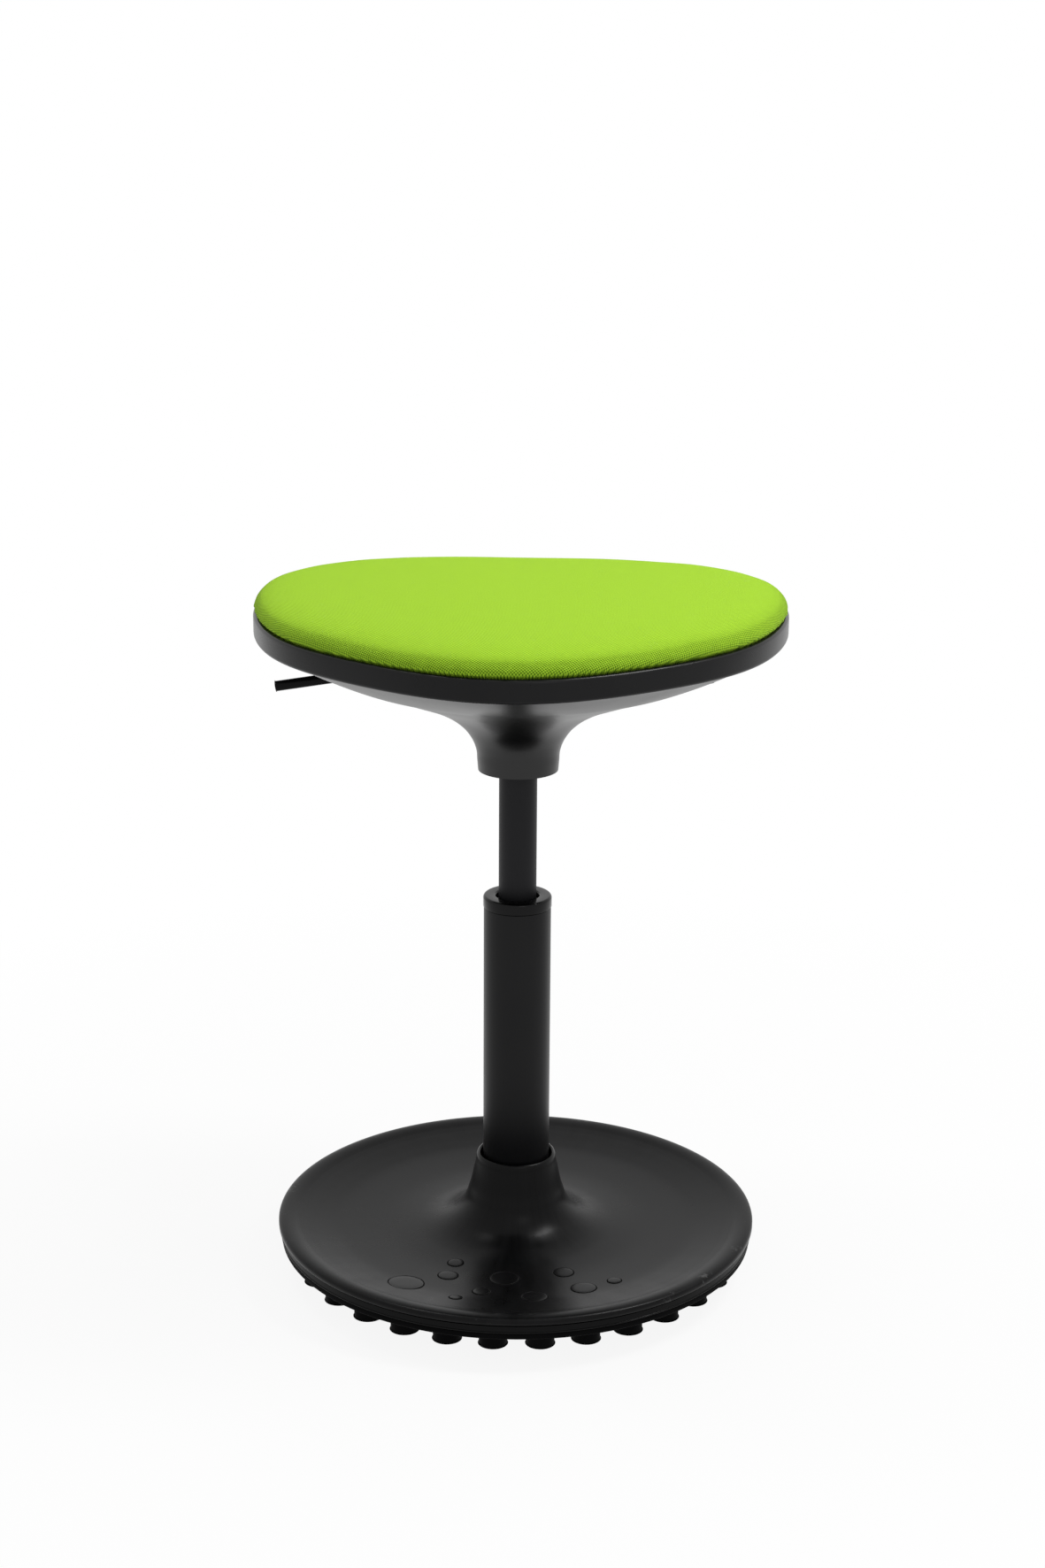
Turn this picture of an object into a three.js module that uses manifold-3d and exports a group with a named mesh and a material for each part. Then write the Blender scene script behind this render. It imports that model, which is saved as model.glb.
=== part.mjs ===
import * as THREE from 'three';
import { mergeVertices } from 'three/addons/utils/BufferGeometryUtils.js';
import Module from 'manifold-3d';

// Height adjustable wobble stool. Millimetres, +Z up, origin on the floor under
// the middle stud, the front of the seat towards -Y.

const wasm = await Module();
wasm.setup();

// general fits
const fit = 0.3;
const cutOver = 1;

// rocker underside and studs
const rockerRadius = 900;
const studHeight = 6.5;
const studFootRadius = 10;
const studRootRadius = 10.4;
const studRingInset = 18;
const studRingStep = 63;
const studCount = 30;
const studTurn = THREE.MathUtils.degToRad(-93);
const studInnerSides = 5;
const studOuterSides = 6;
const plateRadius = 179;
const soleThickness = 4.6;

// base tray, cover and ballast
const trayFloor = 3;
const trayWall = 4.5;
const trayEdge = 5.9;
const coverOverhang = 2.3;
const coverRise = 54;
const ballastInset = 59;
const ballastDrop = 8.6;
const ballastBore = 19;

// underside of the rim, from which the seat, the lever and the column take their heights
const rimFoot = 489;

// gas spring column
const outerTubeRadius = 25;
const outerTubeWall = 2;
const outerTubeDrop = 202;
const outerTubeTop = rimFoot - outerTubeDrop;
const capRadius = 25.5;
const capHeight = 8.5;
const capHoleRadius = 16;
const tubeRadius = 14;
const tubeTipRadius = 13.2;
const tubeBoreRadius = 11.4;
const tubeTipDrop = 17;
const tubeLength = 322;
const taperLength = 48;
const tubeTip = rimFoot - tubeTipDrop;
const tubeFoot = tubeTip - tubeLength;
const taperStart = tubeTip - taperLength;
const rodRadius = 5;
const rodTailRadius = 4;
const rodTail = 8;
const guideHeight = 20;
const guideRise = 1;
const sealHeight = 8;
const guideTop = tubeFoot + guideRise + guideHeight;
const sealFoot = guideTop + fit;
const strokeUp = 30;
const pistonBuffer = 8.7;
const pistonFoot = sealFoot + sealHeight + strokeUp + pistonBuffer;
const pistonHeight = 14;

// seat
const rimHeight = 17;
const rimTop = rimFoot + rimHeight;
const rimWall = 4.4;
const shellRise = 96.8;
const outlineMean = 185.1;
const outlineFirst = 1.9;
const outlineSecond = -11.3;
const outlineThird = 12.7;
const outlineFourth = -2.1;
const outlineFifth = 1.2;
const outlineSixth = 1.8;
const boardThickness = 10;
const seatPlateThickness = 2.5;
const seatPlateSide = 150;
const cushionEdge = 14;
const cushionCrown = 6;

// lever
const leverRadius = 3.8;
const leverReach = 177;
const leverPivot = 34;
const leverDrop = 8.1;
const leverFall = 29.2;
const leverMiddleHeight = rimFoot - leverDrop;
const leverTilt = THREE.MathUtils.degToRad(4);

const rubberBlack = new THREE.MeshStandardMaterial({ color: 0x17181a, roughness: 0.8, metalness: 0 });
const satinBlack = new THREE.MeshStandardMaterial({ color: 0x1d1e20, roughness: 0.45, metalness: 0 });
const deepBlack = new THREE.MeshStandardMaterial({ color: 0x101012, roughness: 0.4, metalness: 0 });
const glossBlack = new THREE.MeshStandardMaterial({ color: 0x0c0c0e, roughness: 0.15, metalness: 0 });
const paintBlack = new THREE.MeshStandardMaterial({ color: 0x141517, roughness: 0.38, metalness: 0.3 });
const rodGrey = new THREE.MeshStandardMaterial({ color: 0x26272a, roughness: 0.42, metalness: 0.4 });
const steel = new THREE.MeshStandardMaterial({ color: 0x9a9da1, roughness: 0.35, metalness: 1 });
const castGrey = new THREE.MeshStandardMaterial({ color: 0x4a4b4d, roughness: 0.75, metalness: 0.8 });
const nylonWhite = new THREE.MeshStandardMaterial({ color: 0xd8d6cc, roughness: 0.5, metalness: 0 });
const plywood = new THREE.MeshStandardMaterial({ color: 0xb98f5c, roughness: 0.7, metalness: 0 });
const greenFabric = new THREE.MeshStandardMaterial({ color: 0x8fc42a, roughness: 0.95, metalness: 0 });

const stool = new THREE.Group();

// one closed shell: merged corners, no flat triangles, faces outwards
function closed(source) {
  const plain = source.index ? source.clone() : mergeVertices(source.clone());
  plain.deleteAttribute('normal');
  plain.deleteAttribute('uv');
  const merged = mergeVertices(plain);
  const corners = merged.index.array;
  const places = merged.attributes.position;
  const kept = [];
  const a = new THREE.Vector3();
  const b = new THREE.Vector3();
  const c = new THREE.Vector3();
  let volume = 0;
  for (let i = 0; i < corners.length; i += 3) {
    const [p, q, r] = [corners[i], corners[i + 1], corners[i + 2]];
    if (p === q || q === r || r === p) continue;
    a.fromBufferAttribute(places, p);
    b.fromBufferAttribute(places, q);
    c.fromBufferAttribute(places, r);
    volume += a.dot(b.cross(c));
    kept.push([p, q, r]);
  }
  if (volume < 0) kept.forEach((face) => face.reverse());
  merged.setIndex(kept.flat());
  return merged;
}

function toSolid(geometry) {
  const ready = closed(geometry);
  const mesh = new wasm.Mesh({
    numProp: 3,
    vertProperties: new Float32Array(ready.attributes.position.array),
    triVerts: new Uint32Array(ready.index.array),
  });
  return new wasm.Manifold(mesh);
}

function fromSolid(body) {
  const mesh = body.getMesh();
  const geometry = new THREE.BufferGeometry();
  geometry.setAttribute('position', new THREE.BufferAttribute(new Float32Array(mesh.vertProperties), 3));
  geometry.setIndex(new THREE.BufferAttribute(new Uint32Array(mesh.triVerts), 1));
  return geometry;
}

function joined(first, ...others) {
  return fromSolid(others.reduce((body, other) => body.add(toSolid(other)), toSolid(first)));
}

function cut(first, ...others) {
  return fromSolid(others.reduce((body, other) => body.subtract(toSolid(other)), toSolid(first)));
}

// profile of [radius, height] turned about the upright axis
function turned(profile, sides) {
  const points = profile.map(([radius, height]) => new THREE.Vector2(radius, height));
  return closed(new THREE.LatheGeometry(points, sides).rotateX(Math.PI / 2));
}

function ringOf(inner, outer, foot, top, sides) {
  return turned([[inner, foot], [outer, foot], [outer, top], [inner, top], [inner, foot]], sides);
}

function discOf(radius, foot, top, sides) {
  return turned([[0, foot], [radius, foot], [radius, top], [0, top]], sides);
}

function blockOf(width, depth, height, x, y, z) {
  return new THREE.BoxGeometry(width, depth, height).translate(x, y, z);
}

function barAlongY(radius, length, x, z, sides) {
  return new THREE.CylinderGeometry(radius, radius, length, sides).translate(x, 0, z);
}

function around(count, radius, turn = 0) {
  return Array.from({ length: count }, (_, i) => {
    const angle = turn + (i * 2 * Math.PI) / count;
    return [radius * Math.cos(angle), radius * Math.sin(angle)];
  });
}

function add(name, geometry, material) {
  const ready = closed(geometry);
  ready.computeVertexNormals();
  const mesh = new THREE.Mesh(ready, material);
  mesh.name = name;
  stool.add(mesh);
  return mesh;
}

// rubber sole: a shallow rocker with rings of studs

const sag = (radius) => rockerRadius - Math.sqrt(rockerRadius ** 2 - radius ** 2);
const soleTop = studHeight + soleThickness;
const domeShares = [0, 0.28, 0.52, 0.76, 1];
const roundSides = 36;
const columnSides = 28;

const soleUnder = domeShares.map((share) => [share * plateRadius, studHeight + sag(share * plateRadius)]);
const soleOver = soleUnder.map(([radius, height]) => [radius, height + soleThickness]);
const solePad = turned([...soleUnder, ...soleOver.toReversed()], roundSides);

const studRingRadius = plateRadius - studRingInset;
const studRings = [];
for (let radius = studRingRadius; radius > studFootRadius * 2; radius -= studRingStep) {
  studRings.push([radius, Math.round((studCount * radius) / studRingRadius)]);
}
const innerRingRadius = studRings.at(-1)[0];
const studs = [];
for (const [radius, count] of [...studRings, [0, 1]]) {
  const outerRing = radius === studRingRadius;
  const foot = radius <= innerRingRadius ? 0 : sag(radius - studFootRadius);
  const root = studHeight + sag(radius + studRootRadius) + 2 * fit;
  for (const [x, y] of around(count, radius, studTurn)) {
    const sides = outerRing ? studOuterSides : studInnerSides;
    const stud = new THREE.CylinderGeometry(studRootRadius, studFootRadius, root - foot, sides);
    studs.push(stud.rotateX(Math.PI / 2).translate(x, y, (root + foot) / 2));
  }
}
add('rubber_sole', joined(solePad, ...studs), rubberBlack);

// base tray, held to the cover by four screws

const trayFoot = soleTop + fit;
const trayTop = trayFoot + sag(plateRadius) + trayEdge;
const coverScrewInset = 29;
const coverScrewRing = plateRadius - coverScrewInset;
const coverScrewTurn = Math.PI / 4;
const coverScrewHead = 4.3;
const coverScrewHeadHeight = 2.2;
const coverScrewShank = 1.8;
const trayBossRadius = 8;
const trayBossHeight = 4.8;
const screwPlaces = around(4, coverScrewRing, coverScrewTurn);

const trayInner = plateRadius - trayWall;
const trayUnder = domeShares.map((share) => [share * plateRadius, trayFoot + sag(share * plateRadius)]);
const trayOver = domeShares.map((share) => [
  share * trayInner,
  trayFoot + trayFloor + sag(share * trayInner),
]);
const trayShell = turned(
  [...trayUnder, [plateRadius, trayTop], [trayInner, trayTop], ...trayOver.toReversed()],
  roundSides,
);
const bossFoot = trayFoot + sag(coverScrewRing + coverScrewHead);
const bossTop = bossFoot + trayBossHeight;
const coverScrewSeat = bossFoot + coverScrewHeadHeight;
const holeFoot = bossFoot - soleThickness;
const trayBosses = screwPlaces.map(([x, y]) =>
  discOf(trayBossRadius, bossFoot + trayFloor / 2, bossTop, 10).translate(x, y, 0));
const trayHoles = screwPlaces.flatMap(([x, y]) => [
  discOf(coverScrewShank + fit, holeFoot, bossTop + cutOver, 10).translate(x, y, 0),
  discOf(coverScrewHead + fit, holeFoot, coverScrewSeat + fit, 10).translate(x, y, 0),
]);
const trayBody = joined(trayShell, ...trayBosses);
add('base_tray', cut(trayBody, ...trayHoles), satinBlack);

// base cover: collar, bell, dish, rounded lip and raised dots
// radius as a share of the way from coverBore to coverRadius, height as a share of coverRise
const coverOuterShares = [
  [0.9961, 0], [1, 0.032], [0.9929, 0.082], [0.9761, 0.1133], [0.9566, 0.117], [0.9385, 0.1004],
  [0.901, 0.0726], [0.8492, 0.037], [0.7651, -0.0111], [0.6679, -0.05], [0.4738, -0.0815],
  [0.3314, -0.0722], [0.2343, -0.037], [0.1728, 0.0296], [0.1049, 0.122], [0.077, 0.215],
  [0.046, 0.5444], [0.022, 0.92], [0.0162, 0.9907], [0.0026, 0.9889],
];
const coverInnerShares = [
  [0, 0.9704], [0, 0.8222], [0.066, 0.1463], [0.1178, 0.0389], [0.2148, -0.0815],
  [0.312, -0.1259], [0.5709, -0.1259], [0.7651, -0.063], [0.9398, 0.037], [0.9786, 0],
];
const collarGap = 1.8;
const coverBore = outerTubeRadius + collarGap;
const coverRadius = plateRadius + coverOverhang;
const coverFoot = trayTop + fit;
const fromCoverShare = ([across, up]) => [
  coverBore + across * (coverRadius - coverBore),
  coverFoot + up * coverRise,
];
const coverProfile = [...coverOuterShares, ...coverInnerShares].map(fromCoverShare);
coverProfile.push(coverProfile[0]);

// places and widths of the dots, as shares of coverRadius
const dotShares = [
  [-0.411, -0.628, 0.142], [-0.226, -0.414, 0.062], [-0.249, -0.529, 0.079],
  [-0.203, -0.75, 0.049],
  [-0.106, -0.673, 0.067], [-0.02, -0.544, 0.115], [0.111, -0.713, 0.1], [0.218, -0.474, 0.079],
  [0.303, -0.621, 0.1], [0.425, -0.55, 0.055],
];
const dotRise = 0.8;
const dotSides = 10;
const dishOuterShares = coverOuterShares.slice(5, 13);

function dishHeight(radius) {
  for (let i = 0; i + 1 < dishOuterShares.length; i += 1) {
    const [outer, outerHeight] = fromCoverShare(dishOuterShares[i]);
    const [inner, innerHeight] = fromCoverShare(dishOuterShares[i + 1]);
    if (radius <= outer && radius >= inner) {
      return THREE.MathUtils.mapLinear(radius, inner, outer, innerHeight, outerHeight);
    }
  }
  return coverFoot;
}

const dots = dotShares.map(([xShare, yShare, widthShare]) => {
  const x = xShare * coverRadius;
  const y = yShare * coverRadius;
  const radius = (widthShare * coverRadius) / 2;
  const away = Math.hypot(x, y);
  const top = dishHeight(away) + dotRise;
  const dot = new THREE.CylinderGeometry(radius - dotRise / 2, radius, dotRise * 2, dotSides);
  dot.rotateX(Math.PI / 2);
  const slope = (dishHeight(away + radius) - dishHeight(away - radius)) / (2 * radius);
  dot.rotateY(-Math.atan(slope)).rotateZ(Math.atan2(y, x));
  return dot.translate(x, y, top - dotRise);
});

const coverBossRadius = 5;
const coverBossFoot = bossTop + fit;
const coverBosses = screwPlaces.map(([x, y]) =>
  discOf(coverBossRadius, coverBossFoot, dishHeight(coverScrewRing) - dotRise, 10).translate(x, y, 0));
const coverScrewSkin = 1.1;
const coverScrewTop = dishHeight(coverScrewRing) - coverScrewSkin;
const coverScrewLength = coverScrewTop - coverScrewSeat;
const coverPilots = screwPlaces.map(([x, y]) =>
  discOf(coverScrewShank + fit, coverBossFoot - cutOver, coverScrewTop + fit, 10).translate(x, y, 0));
const ribCount = 6;
const ribThickness = 2;
const ribInside = 22;
const ribOutside = 18;
const ribStart = coverScrewRing - ribInside;
const ribEnd = coverScrewRing + ribOutside;
const ribDrop = 3;
const coverWall = 2.6;
const ribMiddle = (ribStart + ribEnd) / 2;
const ribSlope = Math.atan((dishHeight(ribEnd) - dishHeight(ribStart)) / (ribEnd - ribStart));
const ribHeight = dishHeight(ribMiddle) - coverWall - ribDrop / 2 + dotRise;
const ribs = around(ribCount, ribMiddle, Math.PI / ribCount).map(([x, y]) => {
  const rib = blockOf(ribEnd - ribStart, ribThickness, ribDrop, 0, 0, 0).rotateY(-ribSlope);
  return rib.rotateZ(Math.atan2(y, x)).translate(x, y, ribHeight);
});
const coverBody = joined(turned(coverProfile, roundSides), ...dots, ...coverBosses, ...ribs);
add('base_cover', cut(coverBody, ...coverPilots), satinBlack);

// screw with its head resting on the height seat, its shank pointing down or up
function screw(name, size, x, y, seat, shankDown, material) {
  const profile = [
    [0, -size.length], [size.shank, -size.length], [size.shank, 0], [size.head, 0],
    [size.head, size.headHeight], [0, size.headHeight],
  ];
  const body = turned(profile, 8);
  if (!shankDown) body.rotateX(Math.PI);
  add(name, body, material).position.set(x, y, seat);
}

const coverScrewSize = {
  head: coverScrewHead,
  headHeight: coverScrewHeadHeight - fit,
  shank: coverScrewShank,
  length: coverScrewLength,
};
screwPlaces.forEach(([x, y], i) => {
  screw(`cover_screw_${i + 1}`, coverScrewSize, x, y, coverScrewSeat, false, steel);
});

// cast iron ballast and the socket that holds the column
const flangeRadius = 49;
const flangeThickness = 4;
const socketWall = 3;
const socketTop = 60;
const socketScrewRing = 39;
const socketScrewEnd = 3.1;
const socketScrewShank = 3;
const socketScrewPlaces = around(4, socketScrewRing, Math.PI / 4);

// height of the tray's faceted floor at a radius
function floorHeight(radius) {
  const next = Math.max(1, trayOver.findIndex(([station]) => station >= radius));
  const [[low, lowHeight], [high, highHeight]] = [trayOver[next - 1], trayOver[next]];
  return THREE.MathUtils.mapLinear(radius, low, high, lowHeight, highHeight);
}

const ballastRadius = plateRadius - ballastInset;
const ballastTop = coverFoot - ballastDrop;
const ballastStations = trayOver.map(([radius]) => radius);
const ballastRadii = [
  ballastBore,
  ...ballastStations.filter((radius) => radius > ballastBore && radius < ballastRadius),
  ballastRadius,
];
const ballastUnder = ballastRadii.map((radius) => [radius, floorHeight(radius) + fit]);
const ballastOver = [[ballastRadius, ballastTop], [ballastBore, ballastTop]];
const ballastProfile = [...ballastUnder, ...ballastOver, ballastUnder[0]];
const flangeFoot = ballastTop + fit;
const flangeTop = flangeFoot + flangeThickness;
const socketScrewSeat = flangeTop + fit;
const socketScrewSize = {
  head: 5.4,
  headHeight: 3.6,
  shank: socketScrewShank,
  length: socketScrewSeat - floorHeight(socketScrewRing + socketScrewShank) - socketScrewEnd,
};
const ballastHoles = socketScrewPlaces.map(([x, y]) =>
  discOf(socketScrewSize.shank + fit, 0, ballastTop + cutOver, 10).translate(x, y, 0));
add('ballast_plate', cut(turned(ballastProfile, roundSides), ...ballastHoles), castGrey);

const socketBore = outerTubeRadius + fit;
const socketOuter = socketBore + socketWall;
const socketProfile = [
  [socketBore, flangeFoot], [flangeRadius, flangeFoot], [flangeRadius, flangeTop],
  [socketOuter + socketWall, flangeTop], [socketOuter, flangeTop + socketWall], [socketOuter, socketTop],
  [socketBore, socketTop], [socketBore, flangeFoot],
];
const flangeHoles = socketScrewPlaces.map(([x, y]) =>
  discOf(socketScrewSize.shank + fit, flangeFoot - cutOver, flangeTop + cutOver, 10).translate(x, y, 0));
add('column_socket', cut(turned(socketProfile, columnSides), ...flangeHoles), paintBlack);
socketScrewPlaces.forEach(([x, y], i) => {
  screw(`socket_screw_${i + 1}`, socketScrewSize, x, y, socketScrewSeat, true, steel);
});

// outer tube, guide bush with its cap, tube base
const outerTubeFoot = ballastTop + fit;
const outerTubeBore = outerTubeRadius - outerTubeWall;
add('outer_tube', ringOf(
  outerTubeBore,
  outerTubeRadius,
  outerTubeFoot,
  outerTubeTop,
  columnSides,
), paintBlack);

const bushLength = 72;
const bushBore = tubeRadius + fit;
const bushRadius = outerTubeBore - fit;
const capFoot = outerTubeTop + fit;
const capTop = capFoot + capHeight;
const capBevel = 1.6;
const capHoleDepth = 5;
const capLipWidth = 1;
add('guide_bush', turned([
  [bushBore, capFoot - bushLength], [bushRadius, capFoot - bushLength], [bushRadius, capFoot],
  [capRadius, capFoot], [capRadius, capTop - capBevel], [capRadius - capBevel / 2, capTop - capBevel / 3],
  [capRadius - capBevel, capTop], [capHoleRadius + capLipWidth, capTop],
  [capHoleRadius, capTop - capLipWidth],
  [capHoleRadius, capTop - capHoleDepth], [bushBore, capTop - capHoleDepth - capLipWidth],
  [bushBore, capFoot - bushLength],
], columnSides), glossBlack);

const tubeBaseRecess = 4.7;
const tubeBaseFoot = outerTubeFoot + tubeBaseRecess;
const tubeBaseThickness = 4;
const tubeBaseTop = tubeBaseFoot + tubeBaseThickness;
const tailBore = rodTailRadius + fit;
const tubeBaseRadius = outerTubeBore - fit;
add('tube_base', ringOf(tailBore, tubeBaseRadius, tubeBaseFoot, tubeBaseTop, 20), steel);

// thrust bearing and bump stop on the foot of the piston rod
const raceRadius = 12;
const raceThickness = 1.5;
const cageThickness = 3;
const cageRadius = 10.6;
const cageBore = 6.4;
const ballCount = 6;
const lowerRaceFoot = tubeBaseTop + fit;
const lowerRaceTop = lowerRaceFoot + raceThickness;
const ballRadius = cageThickness / 2;
const ballRing = (cageRadius + cageBore) / 2;
const cageFoot = lowerRaceTop + fit;
const upperRaceFoot = cageFoot + cageThickness + fit;
const upperRaceTop = upperRaceFoot + raceThickness;
add('bearing_race_lower', ringOf(tailBore, raceRadius, lowerRaceFoot, lowerRaceTop, 18), steel);
const cageRing = ringOf(cageBore, cageRadius, cageFoot + ballRadius / 2, cageFoot + ballRadius * 1.5, 18);
const balls = around(ballCount, ballRing).map(([x, y]) =>
  new THREE.SphereGeometry(ballRadius, 6, 3).rotateX(Math.PI / 2).translate(x, y, cageFoot + ballRadius));
add('bearing_cage', joined(cageRing, ...balls), steel);
add('bearing_race_upper', ringOf(tailBore, raceRadius, upperRaceFoot, upperRaceTop, 18), steel);

const rodShoulder = upperRaceTop + fit;
const bumpStopHeight = 11;
const bumpStopRadius = 11;
const bumpFoot = rodShoulder + fit;
const bumpTop = bumpFoot + bumpStopHeight;
const bumpWaist = bumpStopHeight / 2;
add('bump_stop', turned([
  [rodRadius + fit, bumpFoot], [bumpStopRadius, bumpFoot],
  [bumpStopRadius - fit * 3, bumpFoot + bumpWaist],
  [bumpStopRadius, bumpTop], [rodRadius + fit, bumpTop], [rodRadius + fit, bumpFoot],
], 18), rubberBlack);

const clipThickness = 1.4;
const clipTop = tubeBaseFoot - fit;
const clipFoot = clipTop - clipThickness;
const clipRadius = 8;
const grooveRadius = 3;
const pistonTop = pistonFoot + pistonHeight;
const pistonBore = rodTailRadius;
const rodNeck = pistonFoot - fit;
const rodFoot = tubeBaseFoot - rodTail;
add('piston_rod', turned([
  [0, rodFoot], [rodTailRadius, rodFoot], [rodTailRadius, clipFoot - fit], [grooveRadius, clipFoot - fit],
  [grooveRadius, clipTop + fit / 2], [rodTailRadius, clipTop + fit / 2], [rodTailRadius, rodShoulder],
  [rodRadius, rodShoulder], [rodRadius, rodNeck], [pistonBore, rodNeck],
  [pistonBore, pistonTop + clipThickness], [0, pistonTop + clipThickness],
], 18), steel);
add('rod_clip', ringOf(grooveRadius + fit, clipRadius, clipFoot, clipTop, 16), steel);

const pistonRadius = tubeBoreRadius - fit;
const pistonGroove = 2;
const pistonGrooveHeight = 4;
const grooveFoot = pistonFoot + (pistonHeight - pistonGrooveHeight) / 2;
const grooveTop = grooveFoot + pistonGrooveHeight;
add('piston', turned([
  [pistonBore + fit, pistonFoot], [pistonRadius - fit, pistonFoot],
  [pistonRadius - fit, grooveFoot],
  [pistonRadius - pistonGroove, grooveFoot], [pistonRadius - pistonGroove, grooveTop],
  [pistonRadius - fit, grooveTop], [pistonRadius - fit, pistonTop], [pistonBore + fit, pistonTop],
  [pistonBore + fit, pistonFoot],
], 20), steel);
add('piston_ring', ringOf(
  pistonRadius - pistonGroove + fit,
  pistonRadius,
  grooveFoot + fit,
  grooveTop - fit,
  20,
), rubberBlack);

// pressure tube and what it holds
add('pressure_tube', turned([
  [tubeBoreRadius, tubeFoot], [tubeRadius, tubeFoot], [tubeRadius, taperStart], [tubeTipRadius, tubeTip],
  [tubeBoreRadius, tubeTip], [tubeBoreRadius, tubeFoot],
], columnSides), rodGrey);

const insertRadius = tubeBoreRadius - fit;
const rodBore = rodRadius + fit;
add('end_guide', ringOf(rodBore, insertRadius, tubeFoot + guideRise, guideTop, 20), nylonWhite);
add('rod_seal', ringOf(rodBore, insertRadius, sealFoot, sealFoot + sealHeight, 20), rubberBlack);

const pinRadius = 2.5;
const pinHeadRadius = 3.6;
const pinHeadHeight = 3;
const pinTravel = 2.4;
const valveDepth = 31;
const valveFoot = tubeTip - valveDepth;
const valveTop = tubeTip - 2 * cutOver;
const pinFoot = valveFoot + pinTravel + 2 * cutOver;
add('valve_body', ringOf(pinRadius + fit, insertRadius, valveFoot, valveTop, 20), steel);

// seat plate with the taper socket
const plateFoot = rimFoot;
const plateTop = plateFoot + seatPlateThickness;
const boardFoot = plateTop + fit;
const boardTop = boardFoot + boardThickness;

const plateCorner = 22;
const plateScrewPlace = 60;
const plateScrewSize = { head: 5.5, headHeight: 4, shank: 3, length: 11 };
const plateWindow = 17;
const plateWindowPlace = 46;
const plateEye = 9;

function roundedSquare(side, corner) {
  const half = side / 2;
  const outline = new THREE.Shape();
  outline.moveTo(half, corner - half);
  outline.lineTo(half, half - corner);
  outline.absarc(half - corner, half - corner, corner, 0, Math.PI / 2);
  outline.lineTo(corner - half, half);
  outline.absarc(corner - half, half - corner, corner, Math.PI / 2, Math.PI);
  outline.lineTo(-half, corner - half);
  outline.absarc(corner - half, corner - half, corner, Math.PI, Math.PI * 1.5);
  outline.lineTo(half - corner, -half);
  outline.absarc(half - corner, corner - half, corner, Math.PI * 1.5, Math.PI * 2);
  return outline;
}

function roundHole(radius, x, y) {
  const hole = new THREE.Path();
  hole.absarc(x, y, radius, 0, Math.PI * 2, true);
  return hole;
}

function slab(shape, thickness, foot, steps) {
  const options = { depth: thickness, bevelEnabled: false, curveSegments: steps };
  return new THREE.ExtrudeGeometry(shape, options).translate(0, 0, foot);
}

const corners = [[1, 1], [-1, 1], [-1, -1], [1, -1]];
const plateShape = roundedSquare(seatPlateSide, plateCorner);
plateShape.holes.push(roundHole(plateEye, 0, 0));
const plateScrewPlaces = corners.map(([across, along]) => [
  across * plateScrewPlace,
  along * plateScrewPlace,
]);
plateScrewPlaces.forEach(([x, y]) => {
  plateShape.holes.push(roundHole(plateScrewSize.shank + fit, x, y));
});
plateShape.holes.push(roundHole(plateWindow, plateWindowPlace, 0));
plateShape.holes.push(roundHole(plateWindow, 0, plateWindowPlace));
plateShape.holes.push(roundHole(plateWindow, 0, -plateWindowPlace));
add('seat_plate', slab(plateShape, seatPlateThickness, plateFoot, 4), paintBlack);
plateScrewPlaces.forEach(([x, y], i) => {
  screw(`plate_screw_${i + 1}`, plateScrewSize, x, y, plateFoot - fit, false, steel);
});

const socketSkirt = 6;
const socketFoot = taperStart - socketSkirt;
const coneWall = 5;
const coneTop = plateFoot - fit;
const coneOuter = tubeRadius + fit + coneWall;
const coneBoreTop = tubeTipRadius + fit;
const coneSlotWidth = 2 * leverRadius + 4 * fit;
const coneSlotFoot = leverMiddleHeight - 3 * leverRadius - pinTravel;
const cone = turned([
  [tubeRadius + fit, socketFoot], [coneOuter, socketFoot], [coneOuter, coneTop], [coneBoreTop, coneTop],
  [coneBoreTop, tubeTip], [tubeRadius + fit, taperStart], [tubeRadius + fit, socketFoot],
], 28);
const coneSlotHeight = coneTop - coneSlotFoot + cutOver;
const coneSlot = blockOf(
  coneOuter + cutOver,
  coneSlotWidth,
  coneSlotHeight,
  -(coneOuter + cutOver) / 2,
  0,
  coneSlotFoot + coneSlotHeight / 2,
);
add('taper_socket', cut(cone, coneSlot), steel);

// lever, its bracket and pin, and the release pin
const leverSlope = Math.atan(leverFall / leverReach);
const leverTipReach = 7;
const leverLength = leverReach / Math.cos(leverSlope) + leverTipReach;
const pivotHeight = leverMiddleHeight - leverPivot * Math.tan(leverSlope);
const pivotPinRadius = 2;
const hubLength = 15;
const hubWidth = 10;
const hubHeight = 12;
const leverBend = leverLength / 2 - leverTipReach;
const rod = new THREE.CylinderGeometry(leverRadius, leverRadius, leverLength, 14).rotateZ(Math.PI / 2);
rod.translate(-leverBend, 0, 0).rotateY(-leverSlope).translate(0, 0, leverMiddleHeight);
const hub = blockOf(hubLength, hubWidth, hubHeight, 0, 0, 0).rotateY(-leverSlope);
hub.translate(-leverPivot, 0, pivotHeight);
const hubBore = barAlongY(pivotPinRadius + fit, hubWidth + 2 * cutOver, -leverPivot, pivotHeight, 12);
add('lever_rod', cut(joined(rod, hub), hubBore), deepBlack);

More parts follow.
